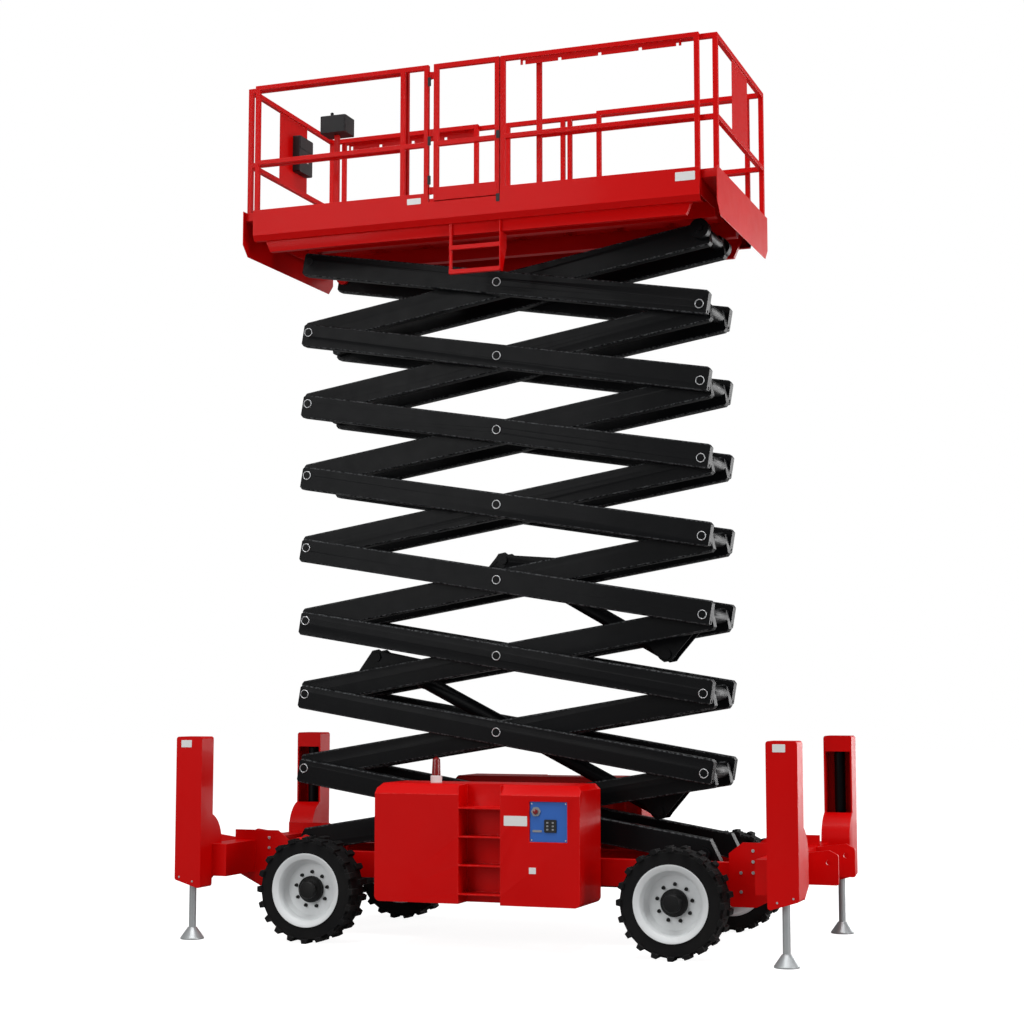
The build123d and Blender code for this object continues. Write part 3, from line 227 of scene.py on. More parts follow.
def noise(tree, place, scale, detail=3.0, roughness=0.5):
    """A noise pattern over the place socket. Scale may be a socket or a number."""
    node = tree.nodes.new("ShaderNodeTexNoise")
    tree.links.new(place, node.inputs["Vector"])
    if isinstance(scale, bpy.types.NodeSocket):
        tree.links.new(scale, node.inputs["Scale"])
    else:
        node.inputs["Scale"].default_value = scale
    node.inputs["Detail"].default_value = detail
    node.inputs["Roughness"].default_value = roughness
    return node.outputs["Fac"]


def ramp(tree, value, low, high, out_low=0.0, out_high=1.0):
    """Stretch value so that low becomes out_low and high becomes out_high, held at both ends."""
    node = tree.nodes.new("ShaderNodeMapRange")
    tree.links.new(value, node.inputs["Value"])
    numbers = {"From Min": low, "From Max": high, "To Min": out_low, "To Max": out_high}
    for socket_name, number in numbers.items():
        if isinstance(number, bpy.types.NodeSocket):
            tree.links.new(number, node.inputs[socket_name])
        else:
            node.inputs[socket_name].default_value = number
    return node.outputs["Result"]


def mix_colour(tree, share, first, second):
    """Blend two colour sockets or colours by share."""
    node = tree.nodes.new("ShaderNodeMix")
    node.data_type = "RGBA"
    for socket, value in zip((node.inputs[0], node.inputs[6], node.inputs[7]), (share, first, second)):
        if isinstance(value, bpy.types.NodeSocket):
            tree.links.new(value, socket)
        else:
            socket.default_value = value
    return node.outputs[2]


print("helpers for groups: new_group, maths, noise, ramp, mix_colour")

# %% [markdown]
# The three groups themselves are dust, ripple and edge rub with its painted highlight. Noise gives
# each of them its pattern, because it has no seam and no direction, and Object coordinates keep
# the pattern at its real size.

# %% The shared effects

VECTOR, FLOAT, COLOUR = "NodeSocketVector", "NodeSocketFloat", "NodeSocketColor"


def weathering_group():
    """Dust that lies low down and in patches, over a paint that varies a little in tone."""
    tree, given, out = new_group(
        "weathering",
        [
            ("Place", VECTOR, None),
            ("Paint", COLOUR, None),
            ("Dust", COLOUR, None),
            ("Dust Height", FLOAT, 1.0),
            ("Dust Share", FLOAT, 0.2),
            ("Clean Roughness", FLOAT, 0.3),
            ("Tone Change", FLOAT, 0.1),
        ],
        [("Colour", COLOUR), ("Roughness", FLOAT)],
    )
    place = given.outputs["Place"]
    split = tree.nodes.new("ShaderNodeSeparateXYZ")
    tree.links.new(place, split.inputs[0])
    low_down = ramp(tree, split.outputs["Z"], 0.0, given.outputs["Dust Height"], 1.0, 0.15)
    patches = ramp(tree, noise(tree, place, 3.0, 6.0, 0.65), 0.35, 0.75)
    specks = ramp(tree, noise(tree, place, 60.0, 2.0, 0.6), 0.4, 0.8, 0.6, 1.0)
    dusty = maths(tree, "MULTIPLY", maths(tree, "MULTIPLY", patches, specks), low_down)
    dusty = maths(tree, "MULTIPLY", dusty, given.outputs["Dust Share"])
    tone = ramp(tree, noise(tree, place, 1.2, 2.0), 0.3, 0.7, -0.5, 0.5)
    tone = maths(tree, "MULTIPLY", tone, given.outputs["Tone Change"])
    value = tree.nodes.new("ShaderNodeHueSaturation")
    tree.links.new(given.outputs["Paint"], value.inputs["Color"])
    tree.links.new(maths(tree, "ADD", tone, 1.0), value.inputs["Value"])
    colour = mix_colour(tree, dusty, value.outputs[0], given.outputs["Dust"])
    tree.links.new(colour, out.inputs["Colour"])
    # Here rubbing only raises the roughness in patches. It paints no colour.
    rubbed_and_highlit = ramp(tree, noise(tree, place, 9.0, 4.0), 0.3, 0.8, 0.0, 0.08)
    rough = maths(tree, "ADD", given.outputs["Clean Roughness"], rubbed_and_highlit)
    rough = maths(tree, "ADD", rough, maths(tree, "MULTIPLY", dusty, 0.5))
    tree.links.new(rough, out.inputs["Roughness"])
    return tree


def ripple_group():
    """The fine ripple of sprayed or moulded surfaces, as a height."""
    tree, given, out = new_group(
        "ripple",
        [("Place", VECTOR, None), ("Fine Scale", FLOAT, 400.0), ("Broad Share", FLOAT, 0.3)],
        [("Height", FLOAT)],
    )
    fine = noise(tree, given.outputs["Place"], given.outputs["Fine Scale"], 2.0)
    broad = noise(tree, given.outputs["Place"], 18.0, 1.0)
    height = maths(tree, "ADD", fine, maths(tree, "MULTIPLY", broad, given.outputs["Broad Share"]))
    tree.links.new(height, out.inputs["Height"])
    return tree


def edge_rub_and_highlight_group():
    """Where an edge has rubbed bright, with a painted highlight along it: the stored edge mask, broken
    up by a fine pattern.
    """
    tree, given, out = new_group(
        "edge_rub_and_highlight",
        [("Place", VECTOR, None), ("Edge", FLOAT, 0.0), ("Share", FLOAT, 0.5)],
        [("Mask", FLOAT)],
    )
    broken = ramp(tree, noise(tree, given.outputs["Place"], 45.0, 5.0, 0.7), 0.45, 0.6)
    worn_and_highlit = maths(tree, "MULTIPLY", broken, given.outputs["Edge"])
    tree.links.new(maths(tree, "MULTIPLY", worn_and_highlit, given.outputs["Share"]), out.inputs["Mask"])
    return tree


weathering, ripple, edge_rub_and_highlight = weathering_group(), ripple_group(), edge_rub_and_highlight_group()
print("groups:", [tree.name for tree in (weathering, ripple, edge_rub_and_highlight)])

# %% [markdown]
# ## The materials
# Red gloss over steel plate, black satin on the scissor beams, rubber, chrome and grey wheel paint
# differ in a handful of numbers: colour, roughness, how metallic, how much clear coat, how strong
# the ripple and how much dust. So they come from one table, and one maker wires each of them up.
# What is even over the whole surface, such as the coat, is set on the shader's own sockets.

# %% Make the materials

DUST = shade(168, 158, 142)
BUMP_GAIN, BUMP_DEPTH, BROAD_RIPPLE = 4, 0.002, 0.3
COAT_ROUGHNESS = 0.08
EDGE_ATTRIBUTE = "edge"
FINISHES = {
    # name: colour, roughness, metallic, coat, specular level, ripple scale and strength,
    #       dust height and share, tone change, colour of a rubbed edge with its painted highlight and
    #       share of it
    "red_paint": (
        shade(204, 2, 3), 0.36, 0.0, 0.04, 0.10, 420.0, 0.012,
        1.6, 0.015, 0.08, shade(222, 74, 70), 0.45,
    ),
    "black_paint": (
        shade(16, 17, 19), 0.40, 0.0, 0.02, 0.10, 500.0, 0.02,
        1.2, 0.01, 0.12, shade(104, 106, 108), 0.55,
    ),
    "tyre": (
        shade(27, 27, 28), 0.75, 0.0, 0.0, 0.12, 160.0, 0.10,
        0.9, 0.03, 0.20, shade(66, 66, 66), 0.30,
    ),
    "wheel_grey": (
        shade(222, 225, 226), 0.42, 0.0, 0.05, 0.40, 500.0, 0.02,
        0.9, 0.08, 0.08, shade(206, 208, 208), 0.30,
    ),
    "hub_black": (
        shade(20, 21, 22), 0.45, 0.0, 0.02, 0.20, 450.0, 0.03,
        0.9, 0.03, 0.10, shade(92, 92, 92), 0.35,
    ),
    "chrome": (
        shade(206, 208, 212), 0.12, 1.0, 0.0, 0.50, 600.0, 0.004,
        0.8, 0.05, 0.03, shade(236, 236, 238), 0.20,
    ),
    "zinc": (
        shade(196, 198, 200), 0.30, 0.85, 0.0, 0.50, 500.0, 0.02,
        0.9, 0.08, 0.12, shade(226, 228, 230), 0.40,
    ),
    "leg_grey": (
        shade(176, 180, 182), 0.32, 0.45, 0.05, 0.50, 500.0, 0.02,
        0.6, 0.10, 0.08, shade(216, 218, 220), 0.30,
    ),
    "axle_steel": (
        shade(40, 42, 44), 0.50, 0.2, 0.0, 0.35, 300.0, 0.04,
        0.9, 0.12, 0.20, shade(120, 120, 120), 0.40,
    ),
    "blue_panel": (
        shade(44, 100, 186), 0.38, 0.0, 0.10, 0.35, 500.0, 0.015,
        1.2, 0.03, 0.06, shade(110, 150, 206), 0.25,
    ),
    "dark_plastic": (
        shade(34, 35, 37), 0.50, 0.0, 0.0, 0.35, 350.0, 0.06,
        1.2, 0.04, 0.10, shade(90, 90, 92), 0.25,
    ),
    "white_plate": (
        shade(226, 227, 226), 0.40, 0.0, 0.05, 0.40, 500.0, 0.01,
        1.2, 0.04, 0.05, shade(236, 236, 236), 0.0,
    ),
    "lens_red": (
        shade(120, 6, 10), 0.16, 0.0, 0.40, 0.50, 300.0, 0.01,
        1.2, 0.04, 0.05, shade(180, 50, 50), 0.0,
    ),
    "grey_plastic": (
        shade(140, 142, 144), 0.45, 0.0, 0.0, 0.40, 350.0, 0.05,
        1.2, 0.05, 0.08, shade(180, 180, 180), 0.2,
    ),
}


def place_group(tree, group, links):
    """Put a shared group into a material and wire the named sockets or numbers to it."""
    node = tree.nodes.new("ShaderNodeGroup")
    node.node_tree = group
    for socket_name, value in links.items():
        if isinstance(value, bpy.types.NodeSocket):
            tree.links.new(value, node.inputs[socket_name])
        else:
            node.inputs[socket_name].default_value = value
    return node.outputs


def make_finish(name):
    """One material of the table, with dust, tone, edge rub with its painted highlight, and ripple over
    the whole surface.
    """
    (paint, rough, metal, coat, specular, scale, strength,
     dust_top, dust_share, tone, rub_and_highlight_colour, rub_and_highlight_share) = FINISHES[name]
    material = bpy.data.materials.new(name)
    material.use_nodes = True
    tree = material.node_tree
    shader = tree.nodes["Principled BSDF"]
    place = tree.nodes.new("ShaderNodeTexCoord").outputs["Object"]
    edge = tree.nodes.new("ShaderNodeAttribute")
    edge.attribute_name = EDGE_ATTRIBUTE
    rubbed_and_highlit = place_group(tree, edge_rub_and_highlight, {
        "Place": place, "Edge": edge.outputs["Fac"], "Share": rub_and_highlight_share,
    })
    # The rub colour on the marked edges is worn paint together with a painted highlight.
    painted = mix_colour(tree, rubbed_and_highlit["Mask"], paint, rub_and_highlight_colour)
    skin = place_group(tree, weathering, {
        "Place": place, "Paint": painted, "Dust": DUST, "Dust Height": dust_top,
        "Dust Share": dust_share, "Clean Roughness": rough, "Tone Change": tone,
    })
    tree.links.new(skin["Colour"], shader.inputs["Base Color"])
    tree.links.new(skin["Roughness"], shader.inputs["Roughness"])
    bump = tree.nodes.new("ShaderNodeBump")
    bump.inputs["Strength"].default_value = strength * BUMP_GAIN
    bump.inputs["Distance"].default_value = BUMP_DEPTH
    relief = place_group(tree, ripple, {
        "Place": place, "Fine Scale": scale, "Broad Share": BROAD_RIPPLE,
    })
    tree.links.new(relief["Height"], bump.inputs["Height"])
    tree.links.new(bump.outputs["Normal"], shader.inputs["Normal"])
    shader.inputs["Metallic"].default_value = metal
    shader.inputs["Coat Weight"].default_value = coat
    shader.inputs["Specular IOR Level"].default_value = specular
    shader.inputs["Coat Roughness"].default_value = COAT_ROUGHNESS
    return material


finishes = {name: make_finish(name) for name in FINISHES}
print(len(finishes), "finishes:", ", ".join(finishes))

# %% [markdown]
# ## Steel that catches the light
# A imported solid has knife edges, and real plate and tube never do: a small round on each edge
# draws the bright line that makes steel look like steel. A bevel on the imported mesh itself isn't
# allowed, so each node gets a copy. Its loose triangles are welded, flat patches become single
# faces, a narrow bevel rounds the edges, and the round strips are marked for the edge rub: worn
# paint there, with a painted highlight.

# %% A maker of dressed copies

WELD = 2e-5
FLAT_ANGLE = math.radians(0.6)
SMOOTH_ANGLE = math.radians(34)
BEVEL_STEPS = 2


def store(mesh, name, body, node_names=(), finish=None):
    """Link a mesh as a piece that rides on a body and stands for the named nodes."""
    piece = bpy.data.objects.new(name, mesh)
    bpy.context.collection.objects.link(piece)
    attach(piece, body)
    if node_names:
        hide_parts(*node_names)
    if finish:
        mesh.materials.clear()
        mesh.materials.append(finishes[finish])
    return piece


def plain_mesh(holder):
    """The holder's mesh with its modifiers worked out. The holder goes."""
    bpy.context.view_layer.update()
    ready = holder.evaluated_get(bpy.context.evaluated_depsgraph_get())
    mesh = bpy.data.meshes.new_from_object(ready)
    bpy.data.objects.remove(holder)
    return mesh


def mark_edges(mesh, width):
    """Store 1 on the corners of strips narrower than the bevel, and 0 on the rest."""
    mask = mesh.attributes.new(EDGE_ATTRIBUTE, "FLOAT", "CORNER")
    values = [0.0] * len(mesh.loops)
    for face in mesh.polygons:
        longest = max(
            (mesh.vertices[a].co - mesh.vertices[b].co).length for a, b in face.edge_keys
        )
        if face.area < longest * width:
            for loop in face.loop_indices:
                values[loop] = 1.0
    mask.data.foreach_set("value", values)


def welded_copy(node):
    """The node's mesh with its corners merged and its flat patches made whole."""
    mesh = frame["nodes"][node].data.copy()
    work = bmesh.new()
    work.from_mesh(mesh)
    bmesh.ops.remove_doubles(work, verts=work.verts, dist=WELD)
    bmesh.ops.dissolve_limit(work, angle_limit=FLAT_ANGLE, verts=work.verts, edges=work.edges)
    work.to_mesh(mesh)
    work.free()
    return mesh


def bevelled(mesh, width):
    """The mesh with rounded edges and normals that follow them."""
    for name in [layer.name for layer in mesh.uv_layers]:
        mesh.uv_layers.remove(mesh.uv_layers[name])
    for face in mesh.polygons:
        face.use_smooth = True
    mesh.set_sharp_from_angle(angle=SMOOTH_ANGLE)
    holder = bpy.data.objects.new("holder", mesh)
    bpy.context.collection.objects.link(holder)
    bevel = holder.modifiers.new("round", "BEVEL")
    bevel.width = width
    bevel.segments = BEVEL_STEPS
    bevel.limit_method = "ANGLE"
    bevel.angle_limit = SMOOTH_ANGLE
    bevel.harden_normals = True
    rounded = plain_mesh(holder)
    mark_edges(rounded, width)
    return rounded


def dress(node, finish, width):
    """A rounded copy of a node in its finish, in the node's place."""
    return store(bevelled(welded_copy(node), width), f"{node}_skin", body_of[node], [node], finish)


print("helpers for pieces: store, plain_mesh, bevelled, dress")

# %% [markdown]
# ## The steelwork
# Which node wears which finish, and how round its edges are, is a table again: welded plate and
# tube have a radius of a few millimetres, and turned pieces such as the cylinders have less.

# %% Dress the steelwork

ENDS, SIDES = ("front", "rear"), ("left", "right")
STAGES = range(1, stage_count + 1)
ARMS = [f"{side}_arm_{stage}" for side in ("inner", "outer") for stage in STAGES]
JACKS = [f"{end}_{side}_jack" for end in ENDS for side in SIDES]
STEELWORK = [
    # finish, bevel width, nodes
    ("red_paint", 0.003, ["chassis_floor", "entry_compartment", "engine_compartment"]),
    ("red_paint", 0.004, ["guardrails", "extension_rails", "rear_extension_rails", "entry_gate"]),
    ("red_paint", 0.003, ["extension_deck", "rear_extension_deck", "drop_step", "control_stand"]),
    ("black_paint", 0.004, ARMS),
    ("black_paint", 0.002, ["lower_cylinder_barrel", "upper_cylinder_barrel"]),
    ("chrome", 0.001, ["lower_cylinder_rod", "upper_cylinder_rod"]),
    ("leg_grey", 0.002, JACKS),
    ("axle_steel", 0.003, ["drive_axle", "steer_axle", "left_knuckle", "right_knuckle"]),
    ("blue_panel", 0.002, ["control_panel"]),
    ("dark_plastic", 0.003, ["control_box", "document_box"]),
]

triangles = 0
for finish, width, nodes in STEELWORK:
    for node in nodes:
        piece = dress(node, finish, width)
        triangles += sum(len(face.vertices) - 2 for face in piece.data.polygons)
print("dressed steelwork:", triangles, "triangles")

# %% [markdown]
# ## Two finishes on one piece
# A wheel has a grey rim and a black hub, the jack columns are black inside as painted shade, the
# lugs and pins that hold the stack are black on red frames, and the beacon stands on a pale foot.
# Each is one node, so the copy gets two materials, and a rule on where a face lies tells which one
# it wears.

# %% Dress pieces that have two finishes

HUB_REACH = 0.106
PIN_REACH, LUG_REACH = 0.035, 0.100
LUG_INNER, LUG_OUTER = 0.300, 0.350
COLUMN_SKIN = 0.012
COLUMN_DEPTH = 0.195
COLUMN_LENGTH = 0.235
COLUMN_REACH = 2.450
BEACON_FOOT = 0.056


def dress_in_two(node, width, finish, second, wears_second):
    """A rounded copy of a node whose faces for which wears_second is true have the second finish."""
    mesh = bevelled(welded_copy(node), width)
    mesh.materials.clear()
    mesh.materials.append(finishes[finish])
    mesh.materials.append(finishes[second])
    for face in mesh.polygons:
        corners = [mesh.vertices[index].co for index in face.vertices]
        face.material_index = int(all(wears_second(corner) for corner in corners))
    piece = store(mesh, f"{node}_skin", body_of[node], [node])
    return piece


def near_axle(centre, reach=HUB_REACH, inner=0.0, outer=9.0):
    """A rule: within reach of the axis along Y through centre, from inner to outer off the middle."""
    return lambda spot: (
        math.hypot(spot.x - centre.x, spot.z - centre.z) < reach and inner < abs(spot.y) < outer
    )


def in_column(half_width):
    """A rule: within the walls of one of the jack columns."""
    mid = half_width - COLUMN_DEPTH / 2
    across, along = COLUMN_DEPTH / 2 - COLUMN_SKIN, COLUMN_LENGTH / 2 - COLUMN_SKIN
    return lambda spot: abs(abs(spot.y) - mid) < across and abs(abs(spot.x) - COLUMN_REACH) < along


wheel_bodies = [name for name in frame["bodies"] if name.endswith("_wheel")]
for body in wheel_bodies:
    tyre = body.replace("_wheel", "_tyre")
    low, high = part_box(tyre)
    dress_in_two(body, 0.001, "wheel_grey", "hub_black", near_axle((low + high) / 2))
    dress(tyre, "tyre", 0.003)
for end in ENDS:
    half_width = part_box(f"{end}_outriggers")[1].y
    # The faces inside each jack column wear black paint as painted shade, where the hollow lies in
    # shadow.
    dress_in_two(f"{end}_outriggers", 0.003, "red_paint", "black_paint", in_column(half_width))
pin_rule = near_axle(pin_at["platform_pin"], PIN_REACH)
dress_in_two("platform_deck", 0.003, "red_paint", "black_paint", pin_rule)
lug_rule = near_axle(pin_at["lift"], LUG_REACH, LUG_INNER, LUG_OUTER)
dress_in_two("chassis_frame", 0.003, "red_paint", "black_paint", lug_rule)
foot_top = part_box("beacon")[0].z + BEACON_FOOT
dress_in_two("beacon", 0.001, "lens_red", "white_plate", lambda spot: spot.z < foot_top)
print(len(wheel_bodies), "wheels, two pairs of outriggers, two frames and the beacon dressed")

# %% [markdown]
# ## What repeats, by Geometry Nodes
# Pin rings, wheel nuts, bolts and buttons are the same small shape at many places. Geometry Nodes
# put one shape on every point of a carrier mesh and turn it to the way that point faces, so
# changing one number changes them all. Each tree ends by making the instances real and giving
# them their material, and the result is kept as a plain mesh, one for each body it rides on.

# %% Helpers for Geometry Nodes

AIM = "aim"


def geometry_tree(name, inputs):
    """A Geometry Nodes tree with a carrier input and named sizes: rows of (name, type, value)."""
    tree = bpy.data.node_groups.new(name, "GeometryNodeTree")
    tree.interface.new_socket("Carrier", in_out="INPUT", socket_type="NodeSocketGeometry")
    for socket_name, kind, value in inputs:
        socket = tree.interface.new_socket(socket_name, in_out="INPUT", socket_type=kind)
        if value is not None:
            socket.default_value = value
    tree.interface.new_socket("Geometry", in_out="OUTPUT", socket_type="NodeSocketGeometry")
    return tree, tree.nodes.new("NodeGroupInput"), tree.nodes.new("NodeGroupOutput")


def wired(tree, kind, links, **settings):
    """A node of that kind with its settings made and its inputs linked or set by name or number."""
    node = tree.nodes.new(kind)
    for key, value in settings.items():
        setattr(node, key, value)
    for socket, value in links.items():
        if isinstance(value, bpy.types.NodeSocket):
            tree.links.new(value, node.inputs[socket])
        else:
            node.inputs[socket].default_value = value
    return node


def end_tree(tree, out, shape, given):
    """Put shape on every point, facing that point's aim, make it real and give it its material."""
    aim = wired(tree, "GeometryNodeInputNamedAttribute", {"Name": AIM}, data_type="FLOAT_VECTOR")
    turn = wired(tree, "FunctionNodeAlignRotationToVector", {"Vector": aim.outputs[0]}, axis="Z")
    placed = wired(tree, "GeometryNodeInstanceOnPoints", {
        "Points": given.outputs["Carrier"], "Instance": shape, "Rotation": turn.outputs[0],
    })
    real = wired(tree, "GeometryNodeRealizeInstances", {"Geometry": placed.outputs[0]})
    finish = wired(tree, "GeometryNodeSetMaterial", {
        "Geometry": real.outputs[0], "Material": given.outputs["Finish"],
    })
    tree.links.new(finish.outputs[0], out.inputs[0])


def grown(name, tree, sizes, finish, body, places):
    """Run a tree over (place, direction) rows and keep the result as a plain piece on a body."""
    carrier = bpy.data.meshes.new(name)
    carrier.from_pydata([tuple(place) for place, _ in places], [], [])
    aim = carrier.attributes.new(AIM, "FLOAT_VECTOR", "POINT")
    aim.data.foreach_set("vector", [value for _, direction in places for value in direction])
    holder = bpy.data.objects.new(name, carrier)
    bpy.context.collection.objects.link(holder)
    modifier = holder.modifiers.new("grow", "NODES")
    modifier.node_group = tree
    sockets = {
        item.name: item.identifier
        for item in tree.interface.items_tree if item.in_out == "INPUT"
    }
    for size_name, value in sizes.items():
        modifier[sockets[size_name]] = value
    modifier[sockets["Finish"]] = finishes[finish]
    mesh = plain_mesh(holder)
    piece = store(mesh, name, body)
    return piece


print("helpers for what repeats: geometry_tree, wired, end_tree, grown")

# %% [markdown]
# ## Pins of the scissor stack
# Each pin shows on the beams as a bright machined ring round a dark head, as a collar that keeps
# a pin in would look. It is a circle swept along a circle, with a low dark
# cap inside it. A texture could paint the ring, but a real ring catches the light as it turns.

# %% Ring the pins


def ring_tree():
    """A bright collar of round section."""
    tree, given, out = geometry_tree("pin_ring", [
        ("Ring Radius", "NodeSocketFloat", 0.034), ("Section Radius", "NodeSocketFloat", 0.004),
        ("Finish", "NodeSocketMaterial", None),
    ])
    path = wired(tree, "GeometryNodeCurvePrimitiveCircle", {
        "Resolution": 40, "Radius": given.outputs["Ring Radius"],
    })
    section = wired(tree, "GeometryNodeCurvePrimitiveCircle", {
        "Resolution": 8, "Radius": given.outputs["Section Radius"],
    })
    swept = wired(tree, "GeometryNodeCurveToMesh", {
        "Curve": path.outputs[0], "Profile Curve": section.outputs[0],
    })
    smooth = wired(tree, "GeometryNodeSetShadeSmooth", {"Geometry": swept.outputs[0]})
    end_tree(tree, out, smooth.outputs[0], given)
    return tree


def cap_tree():
    """A low round head with a narrower step on it."""
    tree, given, out = geometry_tree("round_cap", [
        ("Radius", "NodeSocketFloat", 0.029), ("Height", "NodeSocketFloat", 0.006),
        ("Top Share", "NodeSocketFloat", 0.35), ("Finish", "NodeSocketMaterial", None),
    ])
    base = wired(tree, "GeometryNodeMeshCylinder", {
        "Vertices": 32, "Radius": given.outputs["Radius"], "Depth": given.outputs["Height"],
    })
    top_radius = wired(tree, "ShaderNodeMath", {
        0: given.outputs["Radius"], 1: given.outputs["Top Share"],
    }, operation="MULTIPLY")
    top = wired(tree, "GeometryNodeMeshCylinder", {
        "Vertices": 24, "Radius": top_radius.outputs[0], "Depth": given.outputs["Height"],
    })
    lift = wired(tree, "ShaderNodeCombineXYZ", {"Z": given.outputs["Height"]})
    raised = wired(tree, "GeometryNodeTransform", {
        "Geometry": top.outputs[0], "Translation": lift.outputs[0],
    })
    joined = tree.nodes.new("GeometryNodeJoinGeometry")
    tree.links.new(raised.outputs[0], joined.inputs[0])
    tree.links.new(base.outputs[0], joined.inputs[0])
    end_tree(tree, out, joined.outputs[0], given)
    return tree


rings, caps = ring_tree(), cap_tree()
RIGHT, LEFT = Vector((0, -1, 0)), Vector((0, 1, 0))
CAP_SIZES = {"Radius": 0.028, "Height": 0.004}
boss_low, boss_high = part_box("outer_arm_2")
OUTWARDS = ((RIGHT, boss_low.y), (LEFT, boss_high.y))

for stage in STAGES:
    centre = pin_at[f"centre_pin_{stage}"]
    upper = pin_at.get(f"left_pin_{stage}") or pin_at["platform_pin"]
    lower = 2 * centre - upper
    shown = [centre, lower] if stage == stage_count else [centre, upper, lower]
    places = [(Vector((pin.x, y, pin.z)), out) for pin in shown for out, y in OUTWARDS]
    body = f"outer_arm_{stage}"
    grown(f"pin_rings_{stage}", rings, {}, "zinc", body, places)
    grown(f"pin_caps_{stage}", caps, CAP_SIZES, "black_paint", body, places)
print("rings and caps on", stage_count, "falling arms")

# %% [markdown]
# ## Bolts and wheel nuts
# A bolt head is a hexagon on a washer. Looking at it from a few steps away, the eye reads the
# washer's bright round and the head's shadow, so both are there, and no thread is.

# %% Bolt the wheels

HEXAGON = 0.577  # from the middle to a corner, as a share of the width across the flats


def bolt_tree():
    """A hexagon head on a round washer, standing on its point."""
    tree, given, out = geometry_tree("bolt_head", [
        ("Across", "NodeSocketFloat", 0.024), ("Height", "NodeSocketFloat", 0.012),
        ("Washer Radius", "NodeSocketFloat", 0.018), ("Finish", "NodeSocketMaterial", None),
    ])
    half = wired(tree, "ShaderNodeMath", {0: given.outputs["Across"], 1: HEXAGON}, operation="MULTIPLY")
    head = wired(tree, "GeometryNodeMeshCylinder", {
        "Vertices": 6, "Radius": half.outputs[0], "Depth": given.outputs["Height"],
    })
    lift = wired(tree, "ShaderNodeMath", {0: given.outputs["Height"], 1: 0.5}, operation="MULTIPLY")
    up = wired(tree, "ShaderNodeCombineXYZ", {"Z": lift.outputs[0]})
    raised = wired(tree, "GeometryNodeTransform", {
        "Geometry": head.outputs[0], "Translation": up.outputs[0],
    })
    washer = wired(tree, "GeometryNodeMeshCylinder", {
        "Vertices": 16, "Radius": given.outputs["Washer Radius"], "Depth": 0.004,
    })
    joined = tree.nodes.new("GeometryNodeJoinGeometry")
    tree.links.new(raised.outputs[0], joined.inputs[0])
    tree.links.new(washer.outputs[0], joined.inputs[0])
    end_tree(tree, out, joined.outputs[0], given)
    return tree


bolts = bolt_tree()
NUT_COUNT = 9
NUT_CIRCLE = 0.138
NUT_START = 0.15
NUT_SIZES = {"Across": 0.022, "Height": 0.02, "Washer Radius": 0.015}
DISC_INSET = 0.128


def round_places(centre, radius, count, direction, start):
    """Rows of (place, direction) on a circle about centre, in the plane across Y."""
    turns = [start + 2 * math.pi * index / count for index in range(count)]
    return [
        (centre + radius * Vector((math.cos(turn), 0, math.sin(turn))), direction)
        for turn in turns
    ]


for body in wheel_bodies:
    low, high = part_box(body)
    side = 1 if (low.y + high.y) > 0 else -1
    face_y = (high.y if side > 0 else low.y) - side * DISC_INSET
    centre = Vector(((low.x + high.x) / 2, face_y, (low.z + high.z) / 2))
    places = round_places(centre, NUT_CIRCLE, NUT_COUNT, Vector((0, side, 0)), NUT_START)
    grown(f"{body}_nuts", bolts, NUT_SIZES, "hub_black", body, places)
print(len(wheel_bodies) * NUT_COUNT, "wheel nuts")

# %% [markdown]
# Each outrigger is bolted to its chassis rail through a side plate, and the jack columns have two
# bolts near the foot. The machine is the same on both sides and at both ends, so one list of
# places is mirrored, and each outrigger keeps its bolts in one mesh.

# %% Bolt the outriggers

BOTH_SIDES = (-1, 1)
BOTH_ENDS = (("front", 1), ("rear", -1))
PLATE_BOLTS = [(2.070, 0.783), (2.070, 0.700), (2.070, 0.617), (1.974, 0.614), (1.974, 0.470)]
FOOT_BOLTS = [(2.405, 0.470), (2.525, 0.503)]
PLATE_FACE = 0.502
PLATE_BOLT, FOOT_BOLT = 0.018, 0.011

for end, forward in BOTH_ENDS:
    column_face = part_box(f"{end}_outriggers")[1].y
    kinds = [
        # name, (x, z) places, face height along Y, width across the flats
        ("plate", PLATE_BOLTS, PLATE_FACE, PLATE_BOLT),
        ("foot", FOOT_BOLTS, column_face, FOOT_BOLT),
    ]
    for name, spots, face_y, across in kinds:
        places = [
            (Vector((forward * x, side * face_y, z)), Vector((0, side, 0)))
            for side in BOTH_SIDES for x, z in spots
        ]
        sizes = {"Across": across, "Height": 0.45 * across, "Washer Radius": 0.72 * across}
        grown(f"{end}_{name}_bolts", bolts, sizes, "zinc", "chassis", places)
print("bolts on both pairs of outriggers")

# %% [markdown]
# ## Plates, keypads and hinges
# Data plates, labels, the keypad and the black hinge blocks are all one form: a flat piece with
# round corners. A rectangle with filleted corners is filled and raised, and its size, corner and
# thickness are inputs. Nothing is written on any of them.

# %% A tree for flat pieces


